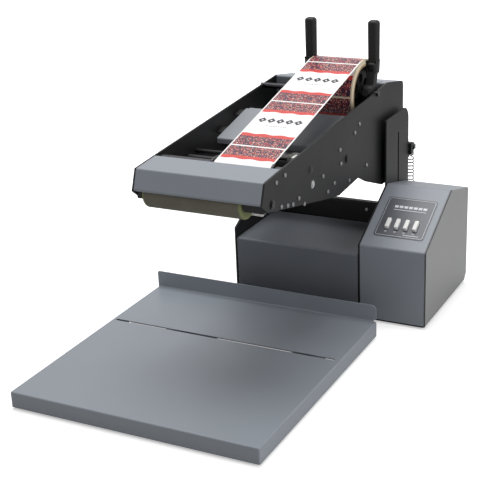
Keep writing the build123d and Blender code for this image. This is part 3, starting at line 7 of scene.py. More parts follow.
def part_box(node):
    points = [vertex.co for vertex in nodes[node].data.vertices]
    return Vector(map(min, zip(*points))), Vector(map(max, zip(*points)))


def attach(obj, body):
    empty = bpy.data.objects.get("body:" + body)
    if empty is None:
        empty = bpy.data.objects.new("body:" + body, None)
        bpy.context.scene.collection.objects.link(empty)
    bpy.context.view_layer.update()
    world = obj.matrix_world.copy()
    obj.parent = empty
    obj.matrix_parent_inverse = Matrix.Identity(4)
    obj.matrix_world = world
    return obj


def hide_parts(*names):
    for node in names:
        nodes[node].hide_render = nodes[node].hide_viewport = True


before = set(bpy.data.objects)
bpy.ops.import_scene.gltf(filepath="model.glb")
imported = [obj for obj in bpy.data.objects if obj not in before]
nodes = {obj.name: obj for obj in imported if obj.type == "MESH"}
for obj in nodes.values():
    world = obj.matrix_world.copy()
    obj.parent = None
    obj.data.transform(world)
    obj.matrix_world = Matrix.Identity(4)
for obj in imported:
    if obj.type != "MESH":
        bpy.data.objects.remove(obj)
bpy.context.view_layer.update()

MM = 0.001

# Places are written in mm from the tray's front left bottom corner, as in the part's source
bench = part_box("tray")[0]


def place(x, y, z):
    """Row-frame point, in metres, from a bench point in mm"""
    return bench + Vector((x, y, z)) * MM


def bench_box(node):
    """Low and high corner of a CAD node, in bench mm"""
    return [(corner - bench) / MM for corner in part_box(node)]


# The web, its roll, the turn bar and the peel edge, as in the part's source
web_left = bench_box("label_web")[0].x
web_right = bench_box("label_web")[1].x
web_sheet = 0.4
paper_clearance = 0.02
roll_y = 515.8
roll_z = 311.5
roll_radius = 48.2
liner_roll_y = 400.0
liner_roll_z = 247.0
turn_y = 208.1
turn_z = 284.3
turn_radius = 6.0
turn_web_gap = 1.0
peel_y = 208.0
peel_z = 237.2
peel_radius = 1.0
peel_web_front = 1.5

# Printed labels: the first gap is measured from where the web leaves the roll
label_inset = 2.0
label_pitch = 126.5
label_gap = 3.0
first_gap = 9.5
label_lift = 0.08
label_facet = 3.0
labels_on_roll = 3
bare_lap = 12.0
roll_seam = 0.2
peel_margin = 0.6
label_left = web_left + label_inset
label_right = web_right - label_inset

# Label that leaves the peel edge
leaving_start = 2.2
leaving_length = 25.0
leaving_drop = 1.9
leaving_slope = 1.2
leaving_curl = 1.0
leaving_facets = 8
leaving_sheet = 0.12

# Slanted front of the control box, and the marks on its overlay
base_front = bench_box("control_box_cover")[0].y
slant_low_z = 114.0
slant_high_y = 535.2
slant_high_z = 171.4
slant_angle = atan2(slant_high_z - slant_low_z, slant_high_y - base_front)
overlay_sheet = 0.6
overlay_left = bench_box("control_overlay")[0].x
overlay_right = bench_box("control_overlay")[1].x
border_margin = 2.0
border_low = 24.2
border_high = 98.8
border_radius = 3.0
border_width = 0.55
border_lift = 0.66
corner_steps = 6
mark_sheet = 0.12
key_count = 4
block_count = 7
block_pitch = 7.2
block_width = 5.6
marks_left = 337.0

# Dark joint beside the control box's end panel
seam_left = bench_box("control_end_panel")[1].x - 1.4
seam_right = bench_box("control_end_panel")[1].x - 0.2
seam_foot = 1.0
seam_lift = 0.08

# Plug of the sensor's lead, beside the inner face of the right head plate
plate_face = bench_box("head_right_plate")[0].x
plug_low = (plate_face - 11.9, 250.0, 280.5)
plug_high = (plate_face - 0.1, 264.0, 290.5)
latch_low = (plate_face - 9.9, 248.9, 283.5)
latch_high = (plate_face - 4.1, 250.2, 287.5)

# Fingers of the label guides, widened above the roll
finger_start = 345.0
finger_full = 362.0
finger_tip = 385.0
finger_extra_x = 0.14
finger_extra_y = 0.3

# Part of the lift carriage's rear wall that is cut away
wall_cut_low = (109.1, 604.0, 114.6)
wall_cut_high = (310.4, 612.0, 150.0)

# Edges and welds
weld_distance = 0.002
smooth_angle = 35
bevel_angle = 40

# Camera fitted to the photograph: its place in bench mm, its angles in degrees
camera_place = (896.0, -1040.9, 720.7)
camera_azimuth = 28.028
camera_elevation = 20.691
camera_roll = -2.527
focal_pixels = 1176.113
photo_pixels = 480
sensor_width = 36.0

# Light of the surround that falls on things, against the white that the camera sees
ambient = 0.3
floor_size = 30.0


def srgb(r, g, b):
    """Linear colour from an sRGB colour of 0 to 255"""
    def linear(c):
        c = c / 255
        return c / 12.92 if c <= 0.04045 else ((c + 0.055) / 1.055) ** 2.4
    return (linear(r), linear(g), linear(b), 1.0)


class Tree:
    """Short ways to add to the node tree of a material or of the world"""

    def __init__(self, tree):
        self.tree = tree

    def fill(self, socket, value):
        """Socket linked to another node's output, or set to a number, colour or vector"""
        if isinstance(value, bpy.types.NodeSocket):
            self.tree.links.new(value, socket)
        else:
            socket.default_value = value

    def add(self, kind, sockets, **settings):
        """New node with its settings, and its sockets filled by name or place"""
        node = self.tree.nodes.new(kind)
        for name, setting in settings.items():
            setattr(node, name, setting)
        for name, value in sockets.items():
            self.fill(node.inputs[name], value)
        return node

    def math(self, operation, *values):
        """Result of a math node"""
        return self.add("ShaderNodeMath", dict(enumerate(values)), operation=operation).outputs[0]

    def mix(self, factor, first, second):
        """Colour between the first and the second"""
        return self.add("ShaderNodeMix", {0: factor, 6: first, 7: second}, data_type="RGBA").outputs[2]

    def axes(self, vector):
        """X, Y and Z of a vector, or the channels of a colour"""
        return self.add("ShaderNodeSeparateXYZ", {0: vector}).outputs

    def coordinates(self):
        """Place on the object, in metres"""
        return self.add("ShaderNodeTexCoord", {}).outputs["Object"]

    def scaled(self, vector, scale):
        """Vector times a scale for each axis"""
        return self.add("ShaderNodeMapping", {"Vector": vector, "Scale": scale}).outputs[0]

    def noise(self, scale, detail, vector=None):
        """Cloudy value between 0 and 1"""
        place_on_it = self.coordinates() if vector is None else vector
        sockets = {"Scale": scale, "Detail": detail, "Roughness": 0.55, "Vector": place_on_it}
        return self.add("ShaderNodeTexNoise", sockets).outputs["Fac"]

    def share(self, value, low, high, first=0.0, last=1.0):
        """Value taken from low to high onto first to last, and held at both ends"""
        sockets = {"Value": value, "From Min": low, "From Max": high, "To Min": first, "To Max": last}
        return self.add("ShaderNodeMapRange", sockets).outputs[0]

    def seen(self, other):
        """1 for camera, glossy and transmission rays, and other for the light that falls on things"""
        rays = self.add("ShaderNodeLightPath", {}).outputs
        direct = self.math("MAXIMUM", rays["Is Camera Ray"], rays["Is Glossy Ray"])
        direct = self.math("MAXIMUM", direct, rays["Is Transmission Ray"])
        return self.math("MULTIPLY_ADD", direct, 1.0 - other, other)


class Material(Tree):
    """Tree of a new material, round its own shader"""

    def __init__(self, name):
        self.material = bpy.data.materials.new(name)
        self.material.use_nodes = True
        super().__init__(self.material.node_tree)
        self.shader = self.tree.nodes["Principled BSDF"]

    def set(self, socket, value):
        """One of the shader's own sockets, set or linked"""
        self.fill(self.shader.inputs[socket], value)

    def bump(self, height, strength, distance):
        """Small relief from a value"""
        sockets = {"Height": height, "Strength": strength, "Distance": distance}
        self.set("Normal", self.add("ShaderNodeBump", sockets).outputs[0])

    def toned(self, factor, colour, dark):
        """Colour that falls to a dark share of itself where the factor is 0"""
        return self.mix(factor, tuple(c * dark for c in colour[:3]) + (1.0,), colour)

    def beyond(self, middle, half):
        """1 beyond half a length from the middle along x, in metres, with a soft edge of 1 mm"""
        away = self.math("ABSOLUTE", self.math("SUBTRACT", self.axes(self.coordinates())["X"], middle))
        return self.share(away, half, half + MM)


def orange_peel(m):
    """Fine grain of baked powder paint"""
    m.bump(m.noise(1400, 2.0), 0.24, 0.00006)


def powder_coat(name, colour, roughness=0.42, gloss=0.4):
    """Baked powder paint: fine orange-peel grain with slow changes of tone"""
    m = Material(name)
    slow = m.noise(9, 3.0)
    m.set("Base Color", m.toned(slow, colour, 0.9))
    m.set("Roughness", m.math("MULTIPLY_ADD", slow, 0.12, roughness - 0.06))
    m.set("Specular IOR Level", gloss)
    orange_peel(m)
    return m.material


def two_tone_coat(name, colour, edge_colour, edge_x):
    """Powder paint that turns to another colour left of edge_x, in metres, where tabs carry the sheet"""
    m = Material(name)
    left = m.math("LESS_THAN", m.axes(m.coordinates())["X"], edge_x)
    m.set("Base Color", m.mix(left, m.toned(m.noise(9, 3.0), colour, 0.9), edge_colour))
    m.set("Roughness", 0.45)
    m.set("Specular IOR Level", 0.4)
    orange_peel(m)
    return m.material


def metal(name, colour, roughness=0.3, along=(1, 1, 40)):
    """Drawn or brushed metal with fine lines"""
    m = Material(name)
    lines = m.noise(260, 3.0, m.scaled(m.coordinates(), along))
    m.set("Base Color", m.toned(lines, colour, 0.72))
    m.set("Metallic", 1.0)
    m.set("Roughness", m.math("MULTIPLY_ADD", lines, 0.2, roughness - 0.1))
    m.bump(lines, 0.12, 0.00004)
    return m.material


def plastic(name, colour, roughness=0.5, grain=900, strength=0.25, gloss=0.5):
    """Moulded plastic with a spark-eroded grain"""
    m = Material(name)
    fine = m.noise(grain, 2.0)
    m.set("Base Color", m.toned(m.noise(14, 2.0), colour, 0.85))
    m.set("Roughness", m.math("MULTIPLY_ADD", fine, 0.1, roughness - 0.05))
    m.set("Specular IOR Level", gloss)
    m.bump(fine, strength, 0.00005)
    return m.material


def foam(name, colour, tip_colour, end_colour, middle, half):
    """Open foam rubber: cells, slow changes of tone and lighter moulded ends"""
    m = Material(name)
    cells = m.add("ShaderNodeTexVoronoi", {"Scale": 900, "Vector": m.coordinates()})
    body = m.mix(m.noise(30, 4.0), colour, tip_colour)
    m.set("Base Color", m.mix(m.beyond(middle, half), body, end_colour))
    m.set("Roughness", 0.95)
    m.bump(cells.outputs["Distance"], 0.6, 0.0003)
    return m.material


def rubber_on_shaft(name, colour, shaft_colour, middle, half):
    """Rubber roller with the bare steel ends of its shaft"""
    m = Material(name)
    fine = m.noise(1200, 2.0)
    shaft = m.beyond(middle, half)
    m.set("Base Color", m.mix(shaft, m.toned(fine, colour, 0.8), shaft_colour))
    m.set("Metallic", shaft)
    m.set("Roughness", m.math("MULTIPLY_ADD", shaft, -0.45, 0.75))
    m.bump(fine, 0.25, 0.00005)
    return m.material


def paper_edge(name, axis, colour, line_colour):
    """Wound paper seen from the side: thin rings round the roll's axis"""
    ring_pitch = 0.00045
    m = Material(name)
    axes = m.axes(m.coordinates())
    across = m.math("SUBTRACT", axes["Y"], axis.y)
    above = m.math("SUBTRACT", axes["Z"], axis.z)
    squares = m.math("ADD", m.math("MULTIPLY", across, across), m.math("MULTIPLY", above, above))
    waves = m.math("SINE", m.math("MULTIPLY", m.math("SQRT", squares), 2 * pi / ring_pitch))
    rings = m.math("MULTIPLY_ADD", waves, 0.5, 0.5)
    share = m.math("MULTIPLY", rings, m.math("MULTIPLY_ADD", m.noise(60, 2.0), 0.8, 0.1))
    m.set("Base Color", m.mix(share, colour, line_colour))
    m.set("Roughness", 0.8)
    m.bump(rings, 0.3, 0.00008)
    return m.material


def plain_paper(name, colour, roughness):
    """Smooth paper with a faint fibre tone"""
    m = Material(name)
    fibre = m.noise(500, 4.0)
    m.set("Base Color", m.toned(fibre, colour, 0.93))
    m.set("Roughness", roughness)
    m.bump(fibre, 0.08, 0.00004)
    return m.material


def speckle(m, uv):
    """Small cells of dark purple, violet, orange and cream"""
    cells = m.add("ShaderNodeTexVoronoi", {"Scale": 1.0, "Vector": m.scaled(uv, (66, 108, 1))})
    chance = m.axes(cells.outputs["Color"])
    colour = m.mix(m.math("GREATER_THAN", chance["Z"], 0.55), srgb(28, 19, 38), srgb(66, 40, 78))
    colour = m.mix(m.math("GREATER_THAN", chance["X"], 0.7), colour, srgb(192, 76, 66))
    return m.mix(m.math("GREATER_THAN", chance["Y"], 0.9), colour, srgb(232, 190, 170))


def printed_label(name):
    """Generic label: a speckled band at both ends, each with a wavy red edge, and dark kites in the middle"""
    kite_count = 5
    kites_across = 5.8
    kite_middle = 0.56
    kite_flatness = 8.4
    rule_middle = 0.44
    rule_half = 0.006
    m = Material(name)
    uv = m.add("ShaderNodeUVMap", {}).outputs[0]
    axes = m.axes(uv)
    across = m.math("SUBTRACT", axes["X"], 0.5)
    from_centre = m.math("ABSOLUTE", across)

    # White middle, then the wavy red, then the speckle, by the distance from the label's middle
    middle = m.math("ABSOLUTE", m.math("SUBTRACT", axes["Y"], 0.5))
    wave = m.math("MULTIPLY", m.math("SINE", m.math("MULTIPLY", axes["X"], 2 * pi * 3)), 0.008)
    red = m.math("GREATER_THAN", m.math("ADD", middle, wave), 0.245)
    colour = m.mix(red, srgb(246, 243, 244), srgb(206, 62, 56))
    colour = m.mix(m.math("GREATER_THAN", middle, 0.305), colour, speckle(m, uv))

    # Row of dark kites with a hole in each
    turn = m.math("SUBTRACT", m.math("FRACT", m.math("MULTIPLY_ADD", across, kites_across, 0.5)), 0.5)
    height = m.math("MULTIPLY", m.math("SUBTRACT", axes["Y"], kite_middle), kite_flatness)
    size = m.math("ADD", m.math("ABSOLUTE", turn), m.math("ABSOLUTE", height))
    kite = m.math("MULTIPLY", m.math("LESS_THAN", size, 0.47), m.math("GREATER_THAN", size, 0.13))
    kites = m.math("MULTIPLY", kite, m.math("LESS_THAN", from_centre, kite_count / kites_across / 2))

    # Dotted rule under them
    dots = m.math("SUBTRACT", m.math("FRACT", m.math("MULTIPLY", axes["X"], 30.0)), 0.5)
    dash = m.math("LESS_THAN", m.math("ABSOLUTE", dots), 0.3)
    level = m.math("ABSOLUTE", m.math("SUBTRACT", axes["Y"], rule_middle))
    rule = m.math("MULTIPLY", dash, m.math("LESS_THAN", level, rule_half))
    rule = m.math("MULTIPLY", rule, m.math("LESS_THAN", from_centre, 0.2))

    m.set("Base Color", m.mix(m.math("MAXIMUM", kites, rule), colour, srgb(34, 32, 44)))
    m.set("Roughness", 0.32)
    m.bump(m.noise(700, 2.0), 0.05, 0.00003)
    return m.material


# Paints, metals and plastics
deck_edge = place(130.2, 0, 0).x
grey = powder_coat("grey_powder_coat", srgb(136, 142, 150))
deck_grey = two_tone_coat("deck_powder_coat", srgb(140, 144, 150), srgb(24, 24, 25), deck_edge)
black = powder_coat("black_powder_coat", srgb(21, 21, 22), 0.5, 0.25)
charcoal = powder_coat("charcoal_powder_coat", srgb(102, 106, 112), 0.5)
panel_grey = powder_coat("end_panel_powder_coat", srgb(136, 136, 137), 0.46)
black_steel = metal("black_oxide", srgb(62, 62, 65), 0.34)
screw_steel = metal("screw_steel", srgb(132, 132, 135), 0.3)
zinc = metal("zinc_plate", srgb(150, 153, 156), 0.36)
steel = metal("ground_steel", srgb(190, 192, 195), 0.24, (1, 40, 40))
spring_wire = metal("spring_wire", srgb(112, 113, 116), 0.34)
motor_can = metal("motor_can", srgb(128, 131, 134), 0.42)
aluminium = metal("aluminium", srgb(200, 203, 206), 0.32, (40, 1, 1))
black_plastic = plastic("black_plastic", srgb(19, 19, 20), gloss=0.28)
knob_plastic = plastic("knob_plastic", srgb(24, 24, 25), 0.42)
white_plastic = plastic("white_plastic", srgb(236, 236, 234), 0.38, 700, 0.15)
nylon = plastic("white_nylon", srgb(232, 232, 226), 0.5, 600, 0.2)
film = plastic("panel_film", srgb(70, 74, 82), 0.36, 1600, 0.3)
panel_line = plastic("panel_line", srgb(214, 217, 222), 0.4, 1600, 0.1)
board_green = plastic("circuit_board", srgb(44, 92, 62), 0.42, 400, 0.2)

# Rubbers: the rollers' middles come from their own boxes, and the half lengths are in metres
foam_middle = sum(corner.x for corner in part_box("front_roller_foam")) / 2
drive_middle = sum(corner.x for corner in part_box("drive_roller")) / 2
foam_colours = (srgb(94, 91, 80), srgb(118, 115, 100), srgb(128, 134, 94))
foam_rubber = foam("foam_rubber", *foam_colours, foam_middle, 0.0662)
rubber_drive = rubber_on_shaft("drive_rubber", srgb(58, 58, 60), srgb(196, 197, 199), drive_middle, 0.0885)
roller_rubber = plastic("roller_rubber", srgb(58, 58, 60), 0.75, 1200, 0.3)
belt_rubber = plastic("belt_rubber", srgb(32, 32, 33), 0.8, 900, 0.3)
foot_rubber = plastic("foot_rubber", srgb(26, 26, 26), 0.85, 500, 0.4)

# Papers
roll_axis = place(0, roll_y, roll_z)
liner_axis = place(0, liner_roll_y, liner_roll_z)
roll_side = paper_edge("wound_paper", roll_axis, srgb(240, 228, 204), srgb(206, 178, 140))
liner_side = paper_edge("wound_liner", liner_axis, srgb(236, 226, 200), srgb(190, 170, 130))
card = plain_paper("core_card", srgb(178, 150, 112), 0.85)
liner = plain_paper("liner", srgb(244, 242, 240), 0.4)
label_print = printed_label("label_print")

nodes_by_material = {
    grey: ("tray", "control_box_cover", "nose_cover", "rear_housing"),
    deck_grey: ("head_deck",),
    panel_grey: ("control_end_panel",),
    charcoal: ("base_cover",),
    black: (
        "base_pan", "left_side_plate", "right_side_plate", "cross_wall", "rear_panel",
        "head_left_plate", "head_right_plate", "lift_carriage", "tie_rods",
    ),
    zinc: ("slide_outer_rails", "tray_runners", "frame_screws", "motor_bracket"),
    screw_steel: ("plate_screws",),
    spring_wire: ("return_spring_left", "return_spring_right"),
    steel: ("pivot_shaft", "front_roller_core", "tail_pins"),
    black_steel: ("flanged_bushes", "turn_bar", "front_roller_shaft", "roll_spindle"),
    aluminium: ("peel_plate", "drive_pulley", "motor_pulley"),
    motor_can: ("drive_motor",),
    knob_plastic: ("clamp_knob_left", "clamp_knob_right", "power_rocker"),
    black_plastic: (
        # roller_blocks are painted black in place of their white nylon: painted shade, for the dark under the
        # nose cover
        "power_entry", "take_up_spindle", "roll_hub", "roller_blocks",
        "label_guide_left", "label_guide_right",
    ),
    film: ("control_overlay",),
    white_plastic: ("panel_key_1", "panel_key_2", "panel_key_3", "panel_key_4"),
    nylon: ("label_sensor",),
    board_green: ("control_board", "power_supply"),
    foam_rubber: ("front_roller_foam",),
    rubber_drive: ("drive_roller",),
    roller_rubber: ("pinch_roller",),
    belt_rubber: ("drive_belt",),
    foot_rubber: ("rubber_feet",),
    roll_side: ("label_roll",),
    liner_side: ("liner_roll",),
    card: ("roll_core",),
    liner: ("label_web",),
}
nodes_by_rounding = {
    0.5: ("tray", "roller_blocks", "label_sensor"),
    0.4: (
        "control_box_cover", "nose_cover", "head_deck", "rear_housing", "left_side_plate", "right_side_plate",
        "head_left_plate", "head_right_plate", "base_cover", "cross_wall", "rear_panel", "base_pan",
        "lift_carriage",
    ),
    0.2: ("peel_plate", "control_end_panel"),
}


def weld_points(item):
    """Modifier that joins the points of neighbouring faces"""
    item.modifiers.new("weld", "WELD").merge_threshold = weld_distance * MM


def dress_nodes():
    """Material for each CAD node, and a small rounding of the edges of the folded and plate ones"""
    for material, names in nodes_by_material.items():
        for name in names:
            materials = nodes[name].data.materials
            materials.clear()
            materials.append(material)
    for width, names in nodes_by_rounding.items():
        for name in names:
            weld_points(nodes[name])
            bevel = nodes[name].modifiers.new("edge", "BEVEL")
            bevel.width = width * MM
            bevel.segments = 2
            bevel.limit_method = "ANGLE"
            bevel.angle_limit = radians(bevel_angle)
            bevel.use_clamp_overlap = True
            nodes[name].modifiers.new("flat faces", "WEIGHTED_NORMAL").keep_sharp = True


def add_object(name, mesh):
    """New object of a mesh, in the scene"""
    item = bpy.data.objects.new(name, mesh)
    bpy.context.scene.collection.objects.link(item)
    return item


def mesh_piece(name, mesh, body):
    """Piece of a mesh that rides on a body"""
    item = add_object(name, mesh)
    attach(item, body)
    return item


def piece(name, points, faces, body, material, smooth=True, uv=None):
    """Piece made of points in the row frame and faces between them"""
    mesh = bpy.data.meshes.new(name)
    mesh.from_pydata([tuple(point) for point in points], [], faces)
    mesh.validate()
    if uv is not None:
        layer = mesh.uv_layers.new(name="UVMap")
        for loop in mesh.loops:
            layer.data[loop.index].uv = uv[loop.vertex_index]
    if smooth:
        mesh.shade_smooth()
        mesh.set_sharp_from_angle(angle=radians(smooth_angle))
    mesh.materials.append(material)
    return mesh_piece(name, mesh, body)


def strip_faces(steps):
    """Faces of a strip that has two points at the end of each step"""
    return [(2 * i, 2 * i + 1, 2 * i + 3, 2 * i + 2) for i in range(steps)]


# Path of the web's outer side: from the roll straight to the turn bar, round it and down to the peel edge
web_thickness = web_sheet + paper_clearance
roll_outside = roll_radius + web_thickness
bend_radius = turn_radius + web_thickness
roll_to_turn = hypot(roll_y - turn_y, roll_z - turn_z)
web_slope = atan2(roll_z - turn_z, roll_y - turn_y) + asin((roll_radius - turn_radius) / roll_to_turn)
leave_y = roll_y - roll_outside * sin(web_slope)
leave_z = roll_z + roll_outside * cos(web_slope)
corner_y = turn_y - turn_radius - web_sheet - turn_web_gap
corner_z = leave_z - (leave_y - corner_y) * tan(web_slope)
edge_y = peel_y - peel_web_front
edge_z = peel_z - peel_radius - web_sheet
web_turn = atan2(corner_z - edge_z, corner_y - edge_y) - web_slope
web_straight = hypot(leave_y - corner_y, leave_z - corner_z) - bend_radius * tan(web_turn / 2)
bend_y = leave_y - web_straight * cos(web_slope) + bend_radius * sin(web_slope)
bend_z = leave_z - web_straight * sin(web_slope) - bend_radius * cos(web_slope)


def on_arc(y, z, radius, angle):
    """Point on an arc round y and z, and its direction out"""
    return (y + radius * cos(angle), z + radius * sin(angle)), (cos(angle), sin(angle))


def web_point(distance):
    """Point on the web's outer side and its direction out, at a distance from where it leaves the roll"""
    upright = pi / 2 + web_slope
    if distance < 0:
        return on_arc(roll_y, roll_z, roll_outside, upright + distance / roll_outside)
    if distance < web_straight:
        point = (leave_y - distance * cos(web_slope), leave_z - distance * sin(web_slope))
        return point, (cos(upright), sin(upright))
    turned = min((distance - web_straight) / bend_radius, web_turn)
    (y, z), out = on_arc(bend_y, bend_z, bend_radius, upright + turned)
    rest = distance - web_straight - turned * bend_radius
    return (y - rest * out[1], z + rest * out[0]), out


def web_length():
    """Length of the web from the roll to the peel edge, in whole mm"""
    length = 0
    while web_point(length)[0][1] > peel_z - peel_margin:
        length += 1
    return length - 1


def label_strip(name, start, end, first, last, body):
    """Printed label from start to end along the web, the part from first to last of it shown"""
    steps = max(2, int((last - first) / label_facet))
    points = []
    uv = []
    for i in range(steps + 1):
        distance = first + (last - first) * i / steps
        (y, z), (out_y, out_z) = web_point(distance)
        for side, x in enumerate((label_left, label_right)):
            points.append(place(x, y + out_y * label_lift, z + out_z * label_lift))
            uv.append((side, 1.0 - (distance - start) / (end - start)))
    piece(name, points, strip_faces(steps), body, label_print, uv=uv)


def make_labels():
    """Labels round the last turn of the roll and along the web, one of them on both"""
    length = web_length()
    roll_end = bare_lap - 2 * pi * roll_outside
    number = 1
    start = first_gap - labels_on_roll * label_pitch + label_gap / 2
    while start <= length:
        end = start + label_pitch - label_gap
        if end <= 0:
            label_strip(f"label_{number}", start, end, max(start, roll_end), end, "label_reel")
        elif start < 0:
            label_strip(f"label_{number}_on_roll", start, end, start, -roll_seam, "label_reel")
            label_strip(f"label_{number}_on_web", start, end, roll_seam, end, "head")
        else:
            label_strip(f"label_{number}", start, end, start, min(end, length), "head")
        start += label_pitch
        number += 1


def make_leaving_label():
    """Label that stands off the peel edge, seen from behind and a little curled"""
    points = []
    for i in range(leaving_facets + 1):
        share = i / leaving_facets
        y = peel_y - leaving_start - leaving_length * share
        z = peel_z - leaving_drop - leaving_slope * share - leaving_curl * share * share
        points += [place(label_left, y, z), place(label_right, y, z)]
    item = piece("label_leaving_the_edge", points, strip_faces(leaving_facets), "head", liner)
    item.modifiers.new("paper", "SOLIDIFY").thickness = leaving_sheet * MM


def slant_point(x, along, out):
    """Point at a distance along and out from the slanted front of the control box"""
    y = base_front + along * cos(slant_angle) - out * sin(slant_angle)
    z = slant_low_z + along * sin(slant_angle) + out * cos(slant_angle)
    return place(x, y, z)


def panel_bar(name, left, right, low, high):
    """Thin raised bar on the overlay"""
    points = []
    for out in (overlay_sheet, overlay_sheet + mark_sheet):
        for x, along in ((left, low), (right, low), (right, high), (left, high)):
            points.append(slant_point(x, along, out))
    faces = [(4, 5, 6, 7), (0, 1, 5, 4), (1, 2, 6, 5), (2, 3, 7, 6), (3, 0, 4, 7)]
    piece(name, points, faces, "base", panel_line, smooth=False)


def make_panel_border():
    """Light line round the overlay, with rounded corners"""
    left = overlay_left + border_margin + border_radius
    right = overlay_right - border_margin - border_radius
    low = border_low + border_radius
    high = border_high - border_radius
    points = []
    for corner, (x, along) in enumerate(((right, high), (left, high), (left, low), (right, low))):
        for step in range(corner_steps + 1):
            angle = pi / 2 * (corner + step / corner_steps)
            for radius in (border_radius, border_radius - border_width):
                points.append(slant_point(x + radius * cos(angle), along + radius * sin(angle), border_lift))
    count = len(points)
    faces = [tuple(point % count for point in face) for face in strip_faces(count // 2)]
    piece("panel_border", points, faces, "base", panel_line, smooth=False)


def make_panel_marks():
    """Plain bars on the overlay: two under each key, a row of blocks and two rules"""
    for number in range(1, key_count + 1):
        x = sum(corner.x for corner in bench_box(f"panel_key_{number}")) / 2
        panel_bar(f"key_legend_{number}", x - 2.2, x + 2.2, 32.2, 33.0)
        panel_bar(f"key_legend_low_{number}", x - 1.2, x + 1.2, 30.4, 31.0)
    for i in range(block_count):
        x = marks_left + i * block_pitch
        panel_bar(f"panel_block_{i + 1}", x, x + block_width, 80.0, 84.6)
    panel_bar("panel_bar_thin", marks_left, marks_left + 49.0, 75.6, 76.6)
    panel_bar("panel_bar_short", marks_left + 29.0, marks_left + 52.0, 27.6, 28.6)


def block_shape(low, high):
    """Points and faces of a block between two bench corners"""
    (x0, y0, z0), (x1, y1, z1) = low, high
    points = [place(x, y, z) for z in (z0, z1) for x, y in ((x0, y0), (x1, y0), (x1, y1), (x0, y1))]
    return points, [(3, 2, 1, 0), (4, 5, 6, 7), (0, 1, 5, 4), (1, 2, 6, 5), (2, 3, 7, 6), (3, 0, 4, 7)]


def rounded_block(name, low, high, rounding, material):
    """Small block on the head with rounded edges"""
    item = piece(name, *block_shape(low, high), "head", material, smooth=False)
    bevel = item.modifiers.new("edge", "BEVEL")
    bevel.width = rounding * MM
    bevel.segments = 2


def make_sensor_plug():
    """Pale plug of the label sensor's lead, with its latch"""
    rounded_block("sensor_plug", plug_low, plug_high, 0.8, nylon)
    rounded_block("sensor_plug_latch", latch_low, latch_high, 0.3, white_plastic)


def make_wide_guide(node, body):
    """Upright guide with its finger a little wider above the roll, as in the photograph"""
    mesh = nodes[node].data.copy()
    start = place(0, 0, finger_start).z
    full = place(0, 0, finger_full).z
    tip = [vertex.co for vertex in mesh.vertices if vertex.co.z > place(0, 0, finger_tip).z]
    middle_x = (min(point.x for point in tip) + max(point.x for point in tip)) / 2
    middle_y = (min(point.y for point in tip) + max(point.y for point in tip)) / 2
    for vertex in mesh.vertices:
        share = min(1.0, max(0.0, (vertex.co.z - start) / (full - start)))
        vertex.co.x = middle_x + (vertex.co.x - middle_x) * (1.0 + finger_extra_x * share)
        vertex.co.y = middle_y + (vertex.co.y - middle_y) * (1.0 + finger_extra_y * share)
    item = mesh_piece(node + "_wide", mesh, body)
    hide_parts(node)


def make_box_seam():
    """Dark joint between the control box cover and its end panel, along the front and the slant"""
    path = (
        ((base_front, seam_foot), (-1.0, 0.0)),
        ((base_front, slant_low_z), (-0.85, 0.55)),
        ((slant_high_y, slant_high_z), (-0.25, 0.97)),
    )
    points = []
    for (y, z), (out_y, out_z) in path:
        for x in (seam_left, seam_right):
            points.append(place(x, y + out_y * seam_lift, z + out_z * seam_lift))
    piece("box_seam", points, strip_faces(len(path) - 1), "base", black, smooth=False)


def make_low_carriage():
    """Lift carriage with the rear wall of its channel kept low, as under the head in the photograph"""
    points, faces = block_shape(wall_cut_low, wall_cut_high)
    block = bpy.data.meshes.new("carriage_cut")
    block.from_pydata(points, [], faces)
    cutter = add_object("carriage_cut", block)
    whole = add_object("carriage_whole", nodes["lift_carriage"].data.copy())
    weld_points(whole)
    cut = whole.modifiers.new("cut", "BOOLEAN")
    cut.object = cutter
    cut.solver = "EXACT"
    mesh = bpy.data.meshes.new_from_object(whole.evaluated_get(bpy.context.evaluated_depsgraph_get()))
    mesh.materials.clear()
    mesh.materials.append(black)
    for helper in (whole, cutter):
        bpy.data.objects.remove(helper)
    item = mesh_piece("carriage_low_wall", mesh, "carriage")
    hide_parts("lift_carriage")


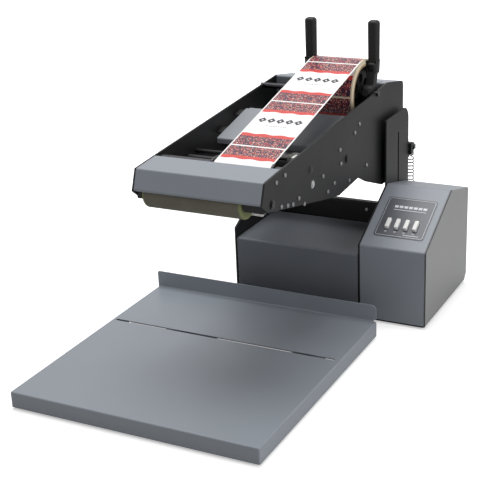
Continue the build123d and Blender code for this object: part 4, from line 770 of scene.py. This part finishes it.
def make_stage():
    """White floor under the machine, which keeps its shadow"""
    m = Material("white_floor")
    m.set("Base Color", m.mix(m.seen(0.0), (0.5, 0.5, 0.5, 1), (0.94, 0.94, 0.94, 1)))
    m.set("Roughness", 1.0)
    m.set("Specular IOR Level", 0.0)
    m.set("Emission Color", (1, 1, 1, 1))
    away = m.add("ShaderNodeVectorMath", {0: m.coordinates()}, operation="LENGTH").outputs["Value"]
    camera_ray = m.add("ShaderNodeLightPath", {}).outputs["Is Camera Ray"]
    m.set("Emission Strength", m.math("MULTIPLY", camera_ray, m.share(away, 0.5, 1.4, 0.45, 1.0)))
    corners = [(x * floor_size, y * floor_size, 0) for x, y in ((-1, -1), (1, -1), (1, 1), (-1, 1))]
    mesh = bpy.data.meshes.new("floor")
    mesh.from_pydata(corners, [], [(0, 1, 2, 3)])
    mesh.materials.append(m.material)
    add_object("floor", mesh)


def area_light(name, location, target, size, power):
    """Square area lamp aimed at target"""
    lamp = bpy.data.lights.new(name, "AREA")
    lamp.size = size
    lamp.energy = power
    item = add_object(name, lamp)
    item.location = location
    aim = Vector(target) - Vector(location)
    item.rotation_euler = aim.to_track_quat("-Z", "Y").to_euler()


def make_light():
    """Soft studio light from above and the right, under a white surround"""
    world = bpy.data.worlds.new("studio")
    bpy.context.scene.world = world
    world.use_nodes = True
    surround = Tree(world.node_tree)
    background = world.node_tree.nodes["Background"]
    surround.fill(background.inputs["Color"], (1, 1, 1, 1))
    surround.fill(background.inputs["Strength"], surround.seen(ambient))
    area_light("top_light", (-0.3, 0.35, 2.3), (0, 0, 0.15), 1.5, 44)
    area_light("right_light", (2.2, -0.5, 1.0), (0, 0, 0.2), 1.2, 22)


def make_camera():
    """Camera of the photograph"""
    camera = bpy.data.cameras.new("camera")
    item = add_object("camera", camera)
    bpy.context.scene.camera = item
    azimuth = radians(camera_azimuth)
    elevation = radians(camera_elevation)
    roll = radians(camera_roll)
    back = Vector((sin(azimuth) * cos(elevation), -cos(azimuth) * cos(elevation), sin(elevation)))
    right = Vector((cos(azimuth), sin(azimuth), 0))
    up = back.cross(right)
    turned_right = right * cos(roll) + up * sin(roll)
    turned_up = -right * sin(roll) + up * cos(roll)
    matrix = Matrix((turned_right, turned_up, back)).transposed().to_4x4()
    matrix.translation = place(*camera_place)
    item.matrix_world = matrix
    camera.sensor_width = sensor_width
    camera.lens = sensor_width * focal_pixels / photo_pixels
    camera.clip_start = 0.05
    camera.clip_end = 100


dress_nodes()
make_labels()
make_leaving_label()
make_panel_border()
make_panel_marks()
make_sensor_plug()
make_wide_guide("label_guide_left", "guide_left")
make_wide_guide("label_guide_right", "head")
make_box_seam()
make_low_carriage()
make_stage()
make_light()
make_camera()
bpy.context.scene.view_settings.view_transform = "Standard"
